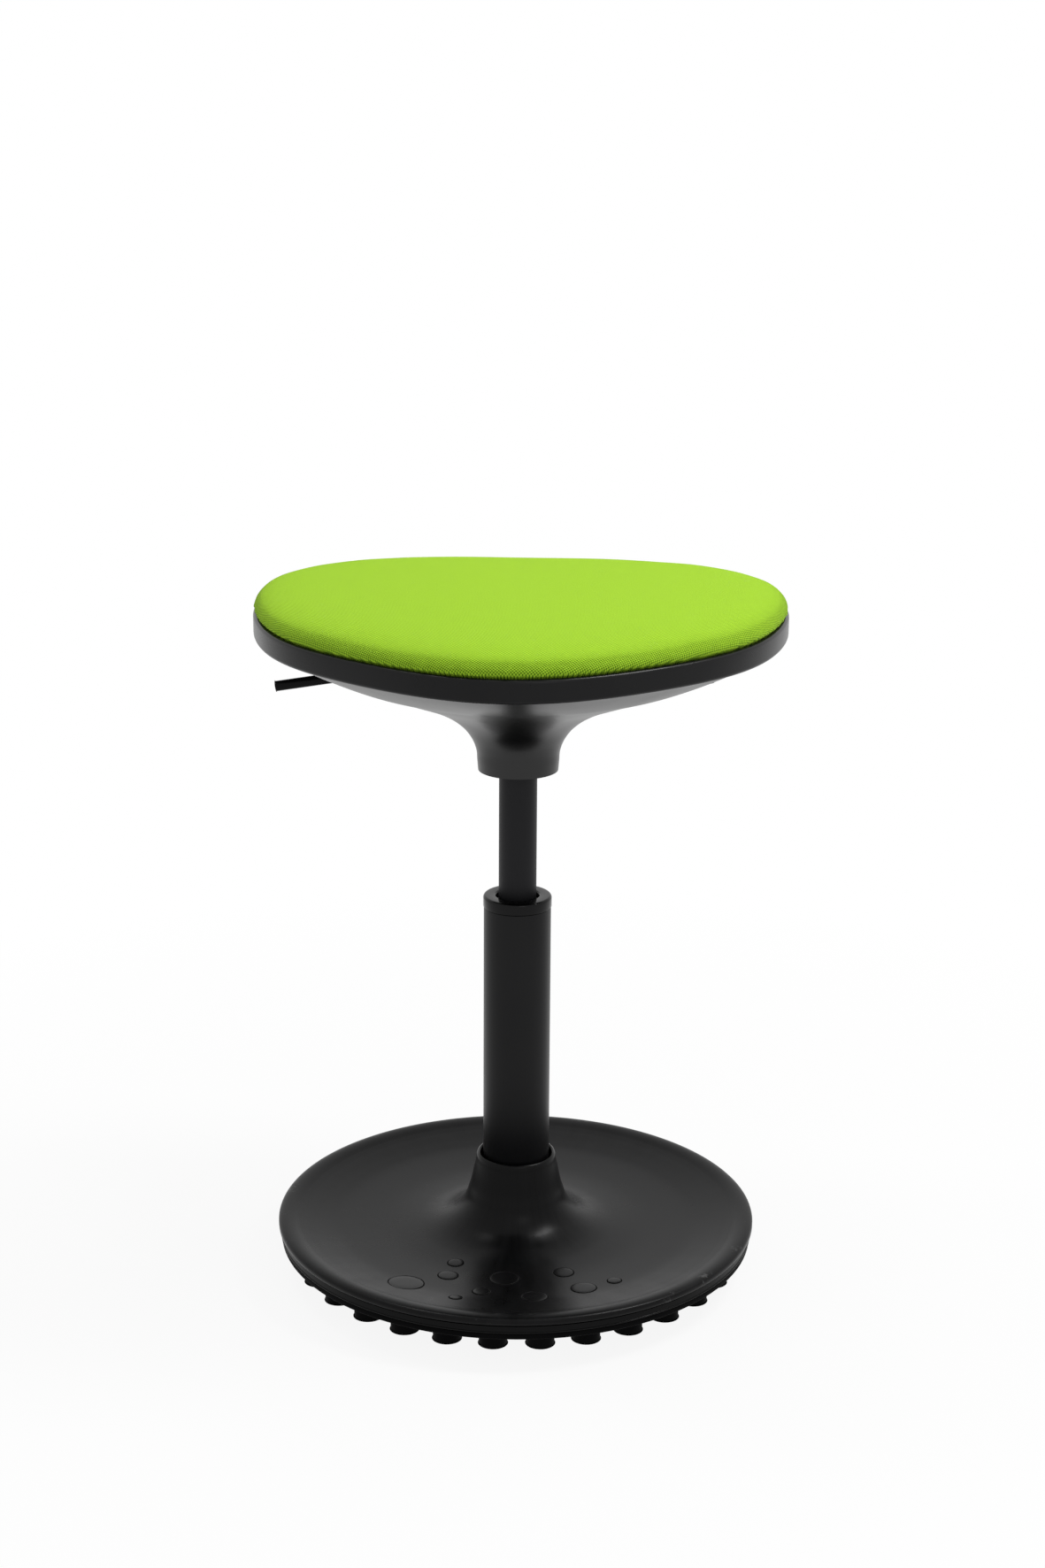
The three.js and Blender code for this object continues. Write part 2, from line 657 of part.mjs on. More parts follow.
const earThickness = 2.5;
const earGap = 0.4;
const earHeight = 17;
const earLength = 16;
const bracketTop = plateFoot - fit;
const bracketPlate = 2;
const earPlace = hubWidth / 2 + earGap + earThickness / 2;
const bracketWidth = 2 * earPlace + earThickness;
const ears = [1, -1].map((side) => blockOf(
  earLength,
  earThickness,
  earHeight,
  -leverPivot,
  side * earPlace,
  bracketTop - earHeight / 2,
));
const lidMiddle = bracketTop - bracketPlate / 2;
const bracketLid = blockOf(earLength, bracketWidth, bracketPlate, -leverPivot, 0, lidMiddle);
const earBore = barAlongY(pivotPinRadius + fit, bracketWidth + 2 * cutOver, -leverPivot, pivotHeight, 12);
add('lever_bracket', cut(joined(bracketLid, ...ears), earBore), paintBlack);
add('lever_pin', barAlongY(pivotPinRadius, bracketWidth, -leverPivot, pivotHeight, 12), steel);

const leverUnder = leverMiddleHeight - leverRadius / Math.cos(leverSlope);
const pinTop = leverUnder - pinHeadRadius * Math.tan(leverSlope) - fit;
add('release_pin', turned([
  [0, pinFoot], [pinRadius, pinFoot], [pinRadius, pinTop - pinHeadHeight],
  [pinHeadRadius, pinTop - pinHeadHeight], [pinHeadRadius, pinTop], [0, pinTop],
], 14), steel);

// outline of the seat, from its mean radius and six waves round it
const outlineWaves = [
  outlineFirst, outlineSecond, outlineThird, outlineFourth, outlineFifth, outlineSixth,
];

function outlineRadius(fromFront) {
  return outlineWaves.reduce((radius, wave, i) => radius + wave * Math.cos((i + 1) * fromFront), outlineMean);
}

// rows of [reach, height]; reach gives the radius for the outline radius at an angle
function formAround(rows, sides) {
  const profile = rows.map((_, i) => new THREE.Vector2(1, i));
  const geometry = new THREE.LatheGeometry(profile, sides);
  const places = geometry.attributes.position;
  for (let side = 0; side <= sides; side += 1) {
    const fromFront = ((side % sides) * 2 * Math.PI) / sides;
    const angle = fromFront - Math.PI / 2;
    const outline = outlineRadius(fromFront);
    rows.forEach(([reach, height], i) => {
      const radius = reach(outline);
      const index = side * rows.length + i;
      places.setXYZ(index, radius * Math.cos(angle), radius * Math.sin(angle), height);
    });
  }
  return closed(geometry);
}

const inset = (distance) => (outline) => outline - distance;
const axis = () => 0;

// seat shell: trumpet neck and dish
const shellWall = 3;
const shellInset = 6;
const shellReach = outlineMean - shellInset;
const neckFoot = rimFoot - shellRise;
const creaseShare = 0.6;

// radius as a share of shellReach, height as a share of the rise from neckFoot to rimFoot
const shellOuterShares = [
  [0.165, 0], [0.1685, 0.08], [0.1725, 0.16], [0.1915, 0.252], [0.2315, 0.35], [0.3, 0.448],
  [0.4, 0.543], [0.5337, 0.6405], [0.6337, 0.71], [0.7472, 0.777], [0.8736, 0.876], [1, 0.997],
];
const shellInnerShares = [
  [0.983, 1], [0.862, 0.907], [0.742, 0.81], [0.628, 0.744], [0.525, 0.675], [0.388, 0.58],
  [0.282, 0.483], [0.212, 0.385], [0.1735, 0.275], [0.148, 0],
];
const toShellRow = ([across, up]) => {
  const spread = Math.max(0, (across - creaseShare) / (1 - creaseShare));
  const follow = Math.min(1, spread * spread * (3 - 2 * spread));
  const reach = (outline) => across * shellReach + follow * (outline - outlineMean);
  return [reach, neckFoot + up * shellRise];
};
const shellRows = [...shellOuterShares, ...shellInnerShares].map(toShellRow);
shellRows.push(shellRows[0]);
const shellTop = rimFoot - fit;
const shellBody = formAround(
  shellRows.map(([reach, height]) => [reach, Math.min(height, shellTop)]),
  32,
);

// height of one side of the shell at a radius and an angle from the front
function shellHeight(shares, radius, fromFront) {
  const outline = outlineRadius(fromFront);
  const side = shares.map(toShellRow).map(([reach, height]) => [reach(outline), height]);
  side.sort(([one], [other]) => one - other);
  const next = Math.max(1, side.findIndex(([reach]) => reach >= radius));
  const [[low, lowHeight], [high, highHeight]] = [side[next - 1], side[next]];
  return THREE.MathUtils.mapLinear(radius, low, high, lowHeight, highHeight);
}

const shellScrewInset = 35;
const shellScrewRing = outlineMean - shellScrewInset;
const shellScrewHead = 4.5;
const shellScrewHeadHeight = 2.8;
const shellScrewShank = 2.1;
const shellScrewDepth = 7;
const shellScrewStem = shellScrewShank + fit;
const shellBossRadius = 7;
const shellBossTop = boardFoot - fit;
const shellScrewTurns = [-28, 48, 132, 208].map(THREE.MathUtils.degToRad);
const shellScrews = shellScrewTurns.map((turn) => {
  const [x, y] = [shellScrewRing * Math.cos(turn), shellScrewRing * Math.sin(turn)];
  const foot = shellHeight(shellOuterShares, shellScrewRing, Math.atan2(y, x) + Math.PI / 2);
  return { x, y, foot, seat: foot + shellScrewDepth };
});
const shellBosses = shellScrews.map(({ x, y, foot }) =>
  discOf(shellBossRadius, foot + shellWall / 2, shellBossTop, 12).translate(x, y, 0));
const shellHoles = shellScrews.flatMap(({ x, y, foot, seat }) => [
  discOf(shellScrewStem, foot, shellBossTop + cutOver, 10).translate(x, y, 0),
  discOf(shellScrewHead + fit, foot - shellBossRadius, seat, 12).translate(x, y, 0),
]);

// the slot runs from where the lever nears the shell's inner side to where the lifted lever is clear below it
const slotMargin = 3;
const slotSide = 2.2;
const slotWidth = 2 * (leverRadius + slotSide);
const slotReach = leverRadius + slotMargin;
const leverHeight = (radius) => leverMiddleHeight - radius * Math.tan(leverSlope);
const liftedHeight = (radius) => leverHeight(radius) + (radius - leverPivot) * Math.tan(leverTilt);
const besideFront = -Math.PI / 2;

function whereBelow(height, shares) {
  let radius = coneOuter;
  while (radius < shellReach && height(radius) > shellHeight(shares, radius, besideFront)) radius += fit;
  return radius;
}

const slotStart = whereBelow((radius) => leverHeight(radius) - slotReach, shellInnerShares);
const slotEnd = whereBelow((radius) => liftedHeight(radius) + slotReach, shellOuterShares);
const leverSlot = blockOf(
  slotEnd - slotStart,
  slotWidth,
  shellRise,
  -(slotStart + slotEnd) / 2,
  0,
  neckFoot + shellRise / 2,
);
add('seat_shell', cut(joined(shellBody, ...shellBosses), ...shellHoles, leverSlot), satinBlack);
shellScrews.forEach(({ x, y, seat }, i) => {
  const size = {
    head: shellScrewHead,
    headHeight: shellScrewHeadHeight,
    shank: shellScrewShank,
    length: boardTop - seat - 3 * fit,
  };
  screw(`shell_screw_${i + 1}`, size, x, y, seat - fit, false, steel);
});

// rim band, board and cushion
const seatSides = 48;
const rimBevelWidth = 3;
const rimBevelRise = 3.5;
const rimRoll = 1.5;
const rimFlange = 12;
const rimFlangeTop = rimFoot + seatPlateThickness;
add('rim_band', formAround([
  [inset(rimFlange), rimFoot + fit], [inset(rimRoll * 2), rimFoot],
  [inset(rimRoll / 3), rimFoot + rimRoll / 2], [inset(0), rimFoot + rimRoll * 2],
  [inset(0), rimTop - rimBevelRise], [inset(rimBevelWidth / 3), rimTop - rimBevelRise / 2],
  [inset(rimBevelWidth), rimTop], [inset(rimWall), rimTop - fit], [inset(rimWall), rimFlangeTop],
  [inset(rimFlange), rimFlangeTop], [inset(rimFlange), rimFoot + fit],
], seatSides), satinBlack);

const boardInset = rimWall + fit;
const board = formAround([
  [axis, boardFoot], [inset(boardInset), boardFoot], [inset(boardInset), boardTop], [axis, boardTop],
], seatSides);
const boardEye = discOf(plateEye + plateCorner / 2, boardFoot - cutOver, boardTop + cutOver, 20);
const boardHoles = [
  ...plateScrewPlaces.map(([x, y]) =>
    discOf(plateScrewSize.shank + fit, boardFoot - cutOver, boardTop - fit, 10).translate(x, y, 0)),
  ...shellScrews.map(({ x, y }) =>
    discOf(shellScrewStem, boardFoot - cutOver, boardTop - fit, 10).translate(x, y, 0)),
];
add('seat_board', cut(board, boardEye, ...boardHoles), plywood);

const cushionFoot = boardTop + fit;
const cushionOverhang = 0.6;

// outer side: [share of the overhang beyond the inset, share of cushionEdge]
const cushionSideShares = [[0, 0.03], [0.42, 0.06], [0.78, 0.11], [0.96, 0.2], [1, 0.36]];
// top: [share of the outline, share of cushionEdge, share of cushionCrown]
const cushionTopShares = [
  [0.995, 0.58, 0.02], [0.98, 0.8, 0.06], [0.955, 0.93, 0.1], [0.915, 0.99, 0.18], [0.84, 1, 0.32],
  [0.7, 1, 0.55], [0.5, 1, 0.78], [0.25, 1, 0.95],
];
const overhang = boardInset + cushionOverhang;
const cushionRows = [
  [axis, cushionFoot],
  [inset(boardInset), cushionFoot],
  ...cushionSideShares.map(([out, up]) => [
    inset(boardInset - out * overhang),
    rimTop + up * cushionEdge,
  ]),
  ...cushionTopShares.map(([across, up, crown]) => [
    (outline) => across * outline,
    rimTop + up * cushionEdge + crown * cushionCrown,
  ]),
  [axis, rimTop + cushionEdge + cushionCrown],
];
add('cushion', formAround(cushionRows, seatSides), greenFabric);

export default stool;
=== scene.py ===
import math

import bpy
from mathutils import Matrix, Vector


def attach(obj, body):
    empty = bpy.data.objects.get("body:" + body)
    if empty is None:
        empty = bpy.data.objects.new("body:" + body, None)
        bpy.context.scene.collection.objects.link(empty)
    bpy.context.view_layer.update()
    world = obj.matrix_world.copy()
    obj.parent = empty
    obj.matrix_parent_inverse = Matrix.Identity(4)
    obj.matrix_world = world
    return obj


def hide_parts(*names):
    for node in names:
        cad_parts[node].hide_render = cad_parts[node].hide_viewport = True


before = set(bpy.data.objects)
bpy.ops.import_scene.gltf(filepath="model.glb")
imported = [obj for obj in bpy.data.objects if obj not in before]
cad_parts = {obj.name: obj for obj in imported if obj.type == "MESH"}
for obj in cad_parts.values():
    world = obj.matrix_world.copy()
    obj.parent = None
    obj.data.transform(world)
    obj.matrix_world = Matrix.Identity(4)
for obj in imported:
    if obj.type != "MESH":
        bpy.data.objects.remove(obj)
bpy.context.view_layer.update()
scene = bpy.context.scene
weldDistance = 0.00001  # m, points nearer than this are one point


def clearSelection():
    if bpy.context.object and bpy.context.object.mode != "OBJECT":
        bpy.ops.object.mode_set(mode="OBJECT")
    bpy.ops.object.select_all(action="DESELECT")


def makeActive(piece):
    clearSelection()
    piece.select_set(True)
    bpy.context.view_layer.objects.active = piece


def applyPlace():
    bpy.ops.object.transform_apply(location=True, rotation=True, scale=True)


def addCylinder(sides, radius, height, place=(0, 0, 0), turn=(0, 0, 0)):
    # sizes and place in mm
    clearSelection()
    bpy.ops.mesh.primitive_cylinder_add(vertices=sides, radius=radius / 1000, depth=height / 1000,
                                        location=[way / 1000 for way in place], rotation=turn)
    return bpy.context.object


def addBlock(size, place=(0, 0, 0)):
    # size and place in mm
    clearSelection()
    bpy.ops.mesh.primitive_cube_add(size=1, location=[way / 1000 for way in place],
                                    scale=[side / 1000 for side in size])
    applyPlace()
    return bpy.context.object


def selectParts(piece, kind, wanted):
    # picks faces or edges by their place or normal and stays in edit mode
    bpy.ops.object.mode_set(mode="EDIT")
    bpy.ops.mesh.select_mode(type=kind)
    bpy.ops.mesh.select_all(action="DESELECT")
    bpy.ops.object.mode_set(mode="OBJECT")
    for part in piece.data.polygons if kind == "FACE" else piece.data.edges:
        part.select = wanted(part)
    bpy.ops.object.mode_set(mode="EDIT")


def facesUp(face):
    return face.normal.z > 0.9


def facesDown(face):
    return face.normal.z < -0.9


def spinProfile(name, line, steps=96):
    # line: [radius, height] in mm, drawn by extruding one vertex and spun round Z
    clearSelection()
    start = (line[0][0] / 1000, 0, line[0][1] / 1000)
    bpy.ops.mesh.primitive_plane_add(size=0.002, location=start)
    piece = bpy.context.object
    piece.name = name
    bpy.ops.object.mode_set(mode="EDIT")
    bpy.ops.mesh.select_mode(type="VERT")
    bpy.ops.mesh.select_all(action="SELECT")
    bpy.ops.mesh.merge(type="CENTER")
    for here, there in zip(line, line[1:]):
        move = ((there[0] - here[0]) / 1000, 0, (there[1] - here[1]) / 1000)
        bpy.ops.mesh.extrude_region_move(TRANSFORM_OT_translate={"value": move})
    bpy.ops.mesh.select_all(action="SELECT")
    bpy.ops.mesh.spin(steps=steps, angle=math.tau, center=(0, 0, 0), axis=(0, 0, 1))
    bpy.ops.mesh.select_all(action="SELECT")
    bpy.ops.mesh.remove_doubles(threshold=weldDistance)
    bpy.ops.mesh.normals_make_consistent(inside=False)
    bpy.ops.object.mode_set(mode="OBJECT")
    applyPlace()
    return piece


def smoothLine(points, parts=4):
    # smooth curve through [radius, height] points, with this many parts from one to the next
    line = []
    for i in range(len(points) - 1):
        before = points[max(i - 1, 0)]
        here, there = points[i], points[i + 1]
        after = points[min(i + 2, len(points) - 1)]
        for step in range(parts):
            t = step / parts
            line.append([
                0.5 * (2 * here[k] + (there[k] - before[k]) * t
                       + (2 * before[k] - 5 * here[k] + 4 * there[k] - after[k]) * t * t
                       + (3 * here[k] - before[k] - 3 * there[k] + after[k]) * t * t * t)
                for k in (0, 1)
            ])
    line.append(list(points[-1]))
    return line


def lineHeight(line, radius):
    for (r0, z0), (r1, z1) in zip(line, line[1:]):
        if min(r0, r1) <= radius <= max(r0, r1) and r0 != r1:
            return z0 + (z1 - z0) * (radius - r0) / (r1 - r0)
    return line[-1][1]


def arcLine(middle, radius, fromAngle, toAngle, parts=6):
    # rounds in a profile, angles in degrees up from the outward direction
    line = []
    for i in range(parts + 1):
        angle = math.radians(fromAngle + (toAngle - fromAngle) * i / parts)
        line.append([middle[0] + radius * math.cos(angle), middle[1] + radius * math.sin(angle)])
    return line


def roundEdges(piece, width, segments=3, limit=35):
    # width in mm, limit in degrees
    makeActive(piece)
    bevel = piece.modifiers.new("edgeRound", "BEVEL")
    bevel.width = width / 1000
    bevel.segments = segments
    bevel.limit_method = "ANGLE"
    bevel.angle_limit = math.radians(limit)
    bpy.ops.object.modifier_apply(modifier=bevel.name)


def smoothShade(piece, angle=40):
    makeActive(piece)
    bpy.ops.object.shade_smooth_by_angle(angle=math.radians(angle))


def combine(piece, other, operation):
    # adds the other's shape to the piece or takes it out, and the other goes
    makeActive(piece)
    boolean = piece.modifiers.new("combine", "BOOLEAN")
    boolean.operation = operation
    boolean.solver = "EXACT"
    boolean.object = other
    bpy.ops.object.modifier_apply(modifier=boolean.name)
    bpy.data.objects.remove(other)


def placeCopies(source, places):
    # a copy with its own mesh at each place, and the source goes
    copies = []
    for place in places:
        copy = source.copy()
        copy.data = source.data.copy()
        scene.collection.objects.link(copy)
        copy.matrix_world = place
        copies.append(copy)
    bpy.data.objects.remove(source)
    makeActive(copies[0])
    for copy in copies:
        copy.select_set(True)
    applyPlace()
    return copies


def joinPieces(pieces, name):
    makeActive(pieces[0])
    for piece in pieces[1:]:
        piece.select_set(True)
    bpy.ops.object.join()
    joined = bpy.context.object
    joined.name = name
    return joined


def finishPiece(piece, body, material, nodes):
    piece.data.materials.clear()
    piece.data.materials.append(material)
    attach(piece, body)
    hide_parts(*nodes)
    print("piece", piece.name, len(piece.data.polygons), "faces")


# camera at the photo's angle
cameraValues = {
    "place": (0.08467, -1.86579, 0.92405),
    "turn": 2.5,      # degrees round Z, the seat is turned a little to the camera
    "down": 16.2155,  # degrees below the horizon
    "roll": 0.3528,
    "lens": 60.95, "sensor": 36,
    "farthest": 50,
}


def makeCamera():
    data = bpy.data.cameras.new("photoCamera")
    data.lens = cameraValues["lens"]
    data.sensor_width = cameraValues["sensor"]
    data.clip_end = cameraValues["farthest"]
    camera = bpy.data.objects.new("photoCamera", data)
    scene.collection.objects.link(camera)
    turn = Matrix.Rotation(math.radians(cameraValues["turn"]), 4, "Z")
    tilt = Matrix.Rotation(math.radians(90 - cameraValues["down"]), 4, "X")
    roll = Matrix.Rotation(math.radians(cameraValues["roll"]), 4, "Z")
    camera.matrix_world = Matrix.Translation(cameraValues["place"]) @ turn @ tilt @ roll
    scene.camera = camera


makeCamera()
print("camera placed")


# node helpers, the owner is a material or the world
def newMaterial(name):
    material = bpy.data.materials.new(name)
    material.use_nodes = True
    return material, material.node_tree.nodes["Principled BSDF"]


def wire(owner, fromSocket, toSocket):
    owner.node_tree.links.new(fromSocket, toSocket)


def wireFinish(material, shader, colour, roughness, normal):
    wire(material, colour, shader.inputs["Base Color"])
    wire(material, roughness, shader.inputs["Roughness"])
    wire(material, normal, shader.inputs["Normal"])


def objectPlace(material):
    return material.node_tree.nodes.new("ShaderNodeTexCoord").outputs["Object"]


def splitVector(material, vector):
    split = material.node_tree.nodes.new("ShaderNodeSeparateXYZ")
    wire(material, vector, split.inputs[0])
    return split.outputs["X"], split.outputs["Y"], split.outputs["Z"]


def joinVector(material, *parts):
    joined = material.node_tree.nodes.new("ShaderNodeCombineXYZ")
    for part, socket in zip(parts, joined.inputs):
        wire(material, part, socket)
    return joined.outputs[0]


def addNoise(material, vector, scale, detail=3, roughness=0.55):
    noise = material.node_tree.nodes.new("ShaderNodeTexNoise")
    noise.inputs["Scale"].default_value = scale
    noise.inputs["Detail"].default_value = detail
    noise.inputs["Roughness"].default_value = roughness
    wire(material, vector, noise.inputs["Vector"])
    return noise.outputs["Fac"]


def addRange(material, value, low, high, toLow=0.0, toHigh=1.0):
    ranged = material.node_tree.nodes.new("ShaderNodeMapRange")
    ranged.inputs["From Min"].default_value = low
    ranged.inputs["From Max"].default_value = high
    ranged.inputs["To Min"].default_value = toLow
    ranged.inputs["To Max"].default_value = toHigh
    wire(material, value, ranged.inputs["Value"])
    return ranged.outputs["Result"]


def addMath(owner, operation, first, second=None):
    node = owner.node_tree.nodes.new("ShaderNodeMath")
    node.operation = operation
    for socket, value in zip(node.inputs, (first, second)):
        if value is None:
            continue
        if isinstance(value, (int, float)):
            socket.default_value = value
        else:
            wire(owner, value, socket)
    return node.outputs[0]


def addVectorMath(material, operation, vector):
    node = material.node_tree.nodes.new("ShaderNodeVectorMath")
    node.operation = operation
    wire(material, vector, node.inputs[0])
    return node


def addColourMix(material, factor, first, second):
    mix = material.node_tree.nodes.new("ShaderNodeMix")
    mix.data_type = "RGBA"
    wire(material, factor, mix.inputs["Factor"])
    for socket, value in ((mix.inputs["A"], first), (mix.inputs["B"], second)):
        if isinstance(value, tuple):
            socket.default_value = (*value, 1)
        else:
            wire(material, value, socket)
    return mix.outputs["Result"]


def addMapping(material, vector, scale):
    mapping = material.node_tree.nodes.new("ShaderNodeMapping")
    mapping.inputs["Scale"].default_value = scale
    wire(material, vector, mapping.inputs["Vector"])
    return mapping.outputs[0]


def addBump(material, height, distance, strength=1.0, under=None):
    bump = material.node_tree.nodes.new("ShaderNodeBump")
    bump.inputs["Strength"].default_value = strength
    bump.inputs["Distance"].default_value = distance
    wire(material, height, bump.inputs["Height"])
    if under is not None:
        wire(material, under, bump.inputs["Normal"])
    return bump.outputs["Normal"]


# finishes that several pieces share
plasticValues = {
    "cloud": (14, 4), "cloudRange": (0.35, 0.65),
    "scuff": (60, 6, 0.7), "scuffRange": (0.70, 0.78), "scuffTimes": 2.2, "scuffPlus": 0.03,
    "roughRange": (0.3, 0.7), "roughSpread": (-0.02, 0.03),
    "grainDetail": 2, "grainStrength": 0.5,
}

plasticFinishes = {
    # colour, lighter colour, roughness, specular level, grain scale, grain depth in m, share of scuffs
    "trayPlastic": ((0.0006, 0.0006, 0.0007), (0.0016, 0.0016, 0.0018), 0.24, 0.1, 900, 0.00002, 0.25),
    "soleRubber": ((0.0015, 0.0015, 0.0016), (0.003, 0.003, 0.0032), 0.6, 0.03, 500, 0.00006, 0.15),
    "tubePaint": ((0.0045, 0.0045, 0.005), (0.0065, 0.0065, 0.007), 0.32, 0.17, 700, 0.00003, 0.1),
    "capGloss": ((0.0008, 0.0008, 0.0009), (0.002, 0.002, 0.0022), 0.13, 0.16, 900, 0.00001, 0.2),
    "innerPaint": ((0.013, 0.013, 0.014), (0.016, 0.016, 0.018), 0.48, 0.14, 800, 0.00002, 0.15),
    "rimPlastic": ((0.005, 0.005, 0.0054), (0.0075, 0.0075, 0.008), 0.27, 0.16, 900, 0.00002, 0.15),
    "shellPlastic": ((0.002, 0.002, 0.0022), (0.0035, 0.0035, 0.0037), 0.32, 0.44, 700, 0.00001, 0.1),
    "leverPlastic": ((0.002, 0.002, 0.0022), (0.004, 0.004, 0.0043), 0.25, 0.08, 900, 0.00002, 0.2),
    "nylonNatural": ((0.68, 0.67, 0.62), (0.74, 0.73, 0.69), 0.45, 0.4, 600, 0.00003, 0.1),
}

metalValues = {
    "cloud": (90, 5), "cloudRange": (0.3, 0.7),
    "grainDetail": 3, "grainRange": (0.2, 0.8), "roughSpread": (-0.08, 0.1),
    "grainDepth": 0.00005, "grainStrength": 0.5,
}

metalFinishes = {
    # colour, darker colour, roughness, grain scale
    "zincSteel": ((0.56, 0.57, 0.58), (0.40, 0.41, 0.42), 0.34, 700),
    "castIron": ((0.16, 0.16, 0.165), (0.09, 0.09, 0.095), 0.62, 260),
}

woodValues = {
    "stretch": (6, 60, 400), "grain": (3, 6, 0.65), "grainRange": (0.3, 0.7),
    "light": (0.55, 0.36, 0.18), "dark": (0.36, 0.21, 0.09),
    "roughness": (0.2, 0.8, 0.55, 0.75), "depth": 0.0002, "strength": 0.4,
}


def plasticMaterial(name):
    # moulded plastic or paint: cloudy tone, fine grain, a few lighter scuffs
    values = plasticValues
    colour, lighter, roughness, specular, grain, grainDepth, scuff = plasticFinishes[name]
    material, shader = newMaterial(name)
    place = objectPlace(material)
    cloud = addNoise(material, place, *values["cloud"])
    base = addColourMix(material, addRange(material, cloud, *values["cloudRange"]), colour, lighter)
    scuffField = addNoise(material, place, *values["scuff"])
    scuffs = addRange(material, scuffField, *values["scuffRange"], 0, scuff)
    worn = tuple(min(1, tone * values["scuffTimes"] + values["scuffPlus"]) for tone in lighter)
    fine = addNoise(material, place, grain, values["grainDetail"])
    less, more = values["roughSpread"]
    wireFinish(material, shader, addColourMix(material, scuffs, base, worn),
               addRange(material, cloud, *values["roughRange"], roughness + less, roughness + more),
               addBump(material, fine, grainDepth, values["grainStrength"]))
    shader.inputs["Specular IOR Level"].default_value = specular
    return material


def metalMaterial(name):
    # zinc, steel or iron: cloudy tone with fine uneven grain
    values = metalValues
    colour, darker, roughness, grain = metalFinishes[name]
    material, shader = newMaterial(name)
    place = objectPlace(material)
    cloud = addNoise(material, place, *values["cloud"])
    fine = addNoise(material, place, grain, values["grainDetail"])
    less, more = values["roughSpread"]
    wireFinish(material, shader,
               addColourMix(material, addRange(material, cloud, *values["cloudRange"]), colour, darker),
               addRange(material, fine, *values["grainRange"], roughness + less, roughness + more),
               addBump(material, fine, values["grainDepth"], values["grainStrength"]))
    shader.inputs["Metallic"].default_value = 1
    return material


def woodMaterial():
    # birch plywood: grain along Y and thin layers up the edge
    values = woodValues
    material, shader = newMaterial("birchPly")
    stretched = addMapping(material, objectPlace(material), values["stretch"])
    grain = addNoise(material, stretched, *values["grain"])
    tone = addRange(material, grain, *values["grainRange"])
    wireFinish(material, shader, addColourMix(material, tone, values["light"], values["dark"]),
               addRange(material, grain, *values["roughness"]),
               addBump(material, grain, values["depth"], values["strength"]))
    return material


# rocker base
coverValues = {
    # [radius, height] in mm
    "rim": [[180.8, 36.3], [181.3, 36.8], [181.3, 39.2], [181.0, 40.1], [180.3, 40.8], [179.2, 41.3],
            [177.6, 41.7], [175.6, 41.8], [173.2, 41.6], [170.8, 41.1], [168.4, 40.4], [166.0, 39.5]],
    "dish": [[166.0, 39.5], [162.0, 38.5], [158.0, 37.6], [145.0, 35.0], [130.0, 32.9], [100.0, 31.2],
             [78.0, 31.7], [66.0, 33.3], [57.5, 35.9], [50.5, 39.6], [45.8, 43.2], [41.6, 47.8],
             [38.5, 53.0], [36.4, 59.0], [34.0, 67.0], [30.2, 85.3]],
    "collar": [[30.2, 85.3], [30.0, 87.4], [29.4, 89.0], [28.3, 89.6], [27.2, 89.1], [26.8, 88.0]],
    "inside": [[26.8, 80.0], [37.0, 43.5], [45.0, 37.7], [60.0, 31.2], [75.0, 28.8], [115.0, 28.8],
               [145.0, 32.2], [172.0, 37.8], [178.0, 36.3]],
    "steps": 160, "dishParts": 5,
    # dots: x, y, width in mm
    "dots": [(-74.5, -113.9, 25.7), (-41.0, -75.1, 11.2), (-45.1, -95.9, 14.3), (-36.8, -136.0, 8.9),
             (-19.2, -122.0, 12.1), (-3.6, -98.6, 20.8), (20.1, -129.3, 18.1), (39.5, -85.9, 14.3),
             (54.9, -112.6, 18.1), (77.1, -99.7, 10.0)],
    "dotSides": 48, "dotHeight": 4.5, "dotSink": 0.1,
    "dotStart": (500, 200),  # radius and height of the cylinder that a dot is made from
    "dotSteps": ((0.05, 0.035), (0.12, 0.025), (0.15, 0.012)),  # inset and rise on a dot 1 m across
    "dotSlopeSpan": 3,       # the dish's slope under a dot is taken over this much on each side
}

coverFinish = {
    "streakTurns": 7.0, "streakRuns": 16.0, "streak": (1.6, 4, 0.6), "streakShare": 0.6,
    "cloud": (9, 4), "cloudShare": 0.4,
    "toneRange": (0.38, 0.62), "dark": (0.0012, 0.0012, 0.0013), "light": (0.004, 0.004, 0.0043),
    "scuff": (55, 7, 0.72), "scuffRange": (0.6, 0.74, 0, 0.8), "scuffTone": (0.14, 0.14, 0.14),
    "lip": (0.1715, 0.1765),  # m, where the scuffs fade in
    "grooveOut": 0.0003, "grooveRange": (0.0002, 0.0006, 1, 0),  # m out from the dot's edge
    # painted shade: the groove round each dot is coloured darker than the dish
    "grooveShadeTone": (0.0005, 0.0005, 0.0005), "grooveRough": 0.95, "grooveDepth": 0.0003,
    "roughness": (0.33, 0.67, 0.26, 0.33),
    "grain": (1100, 2), "grainDepth": 0.00002, "grainStrength": 0.5,
    "specular": 0.11,
}


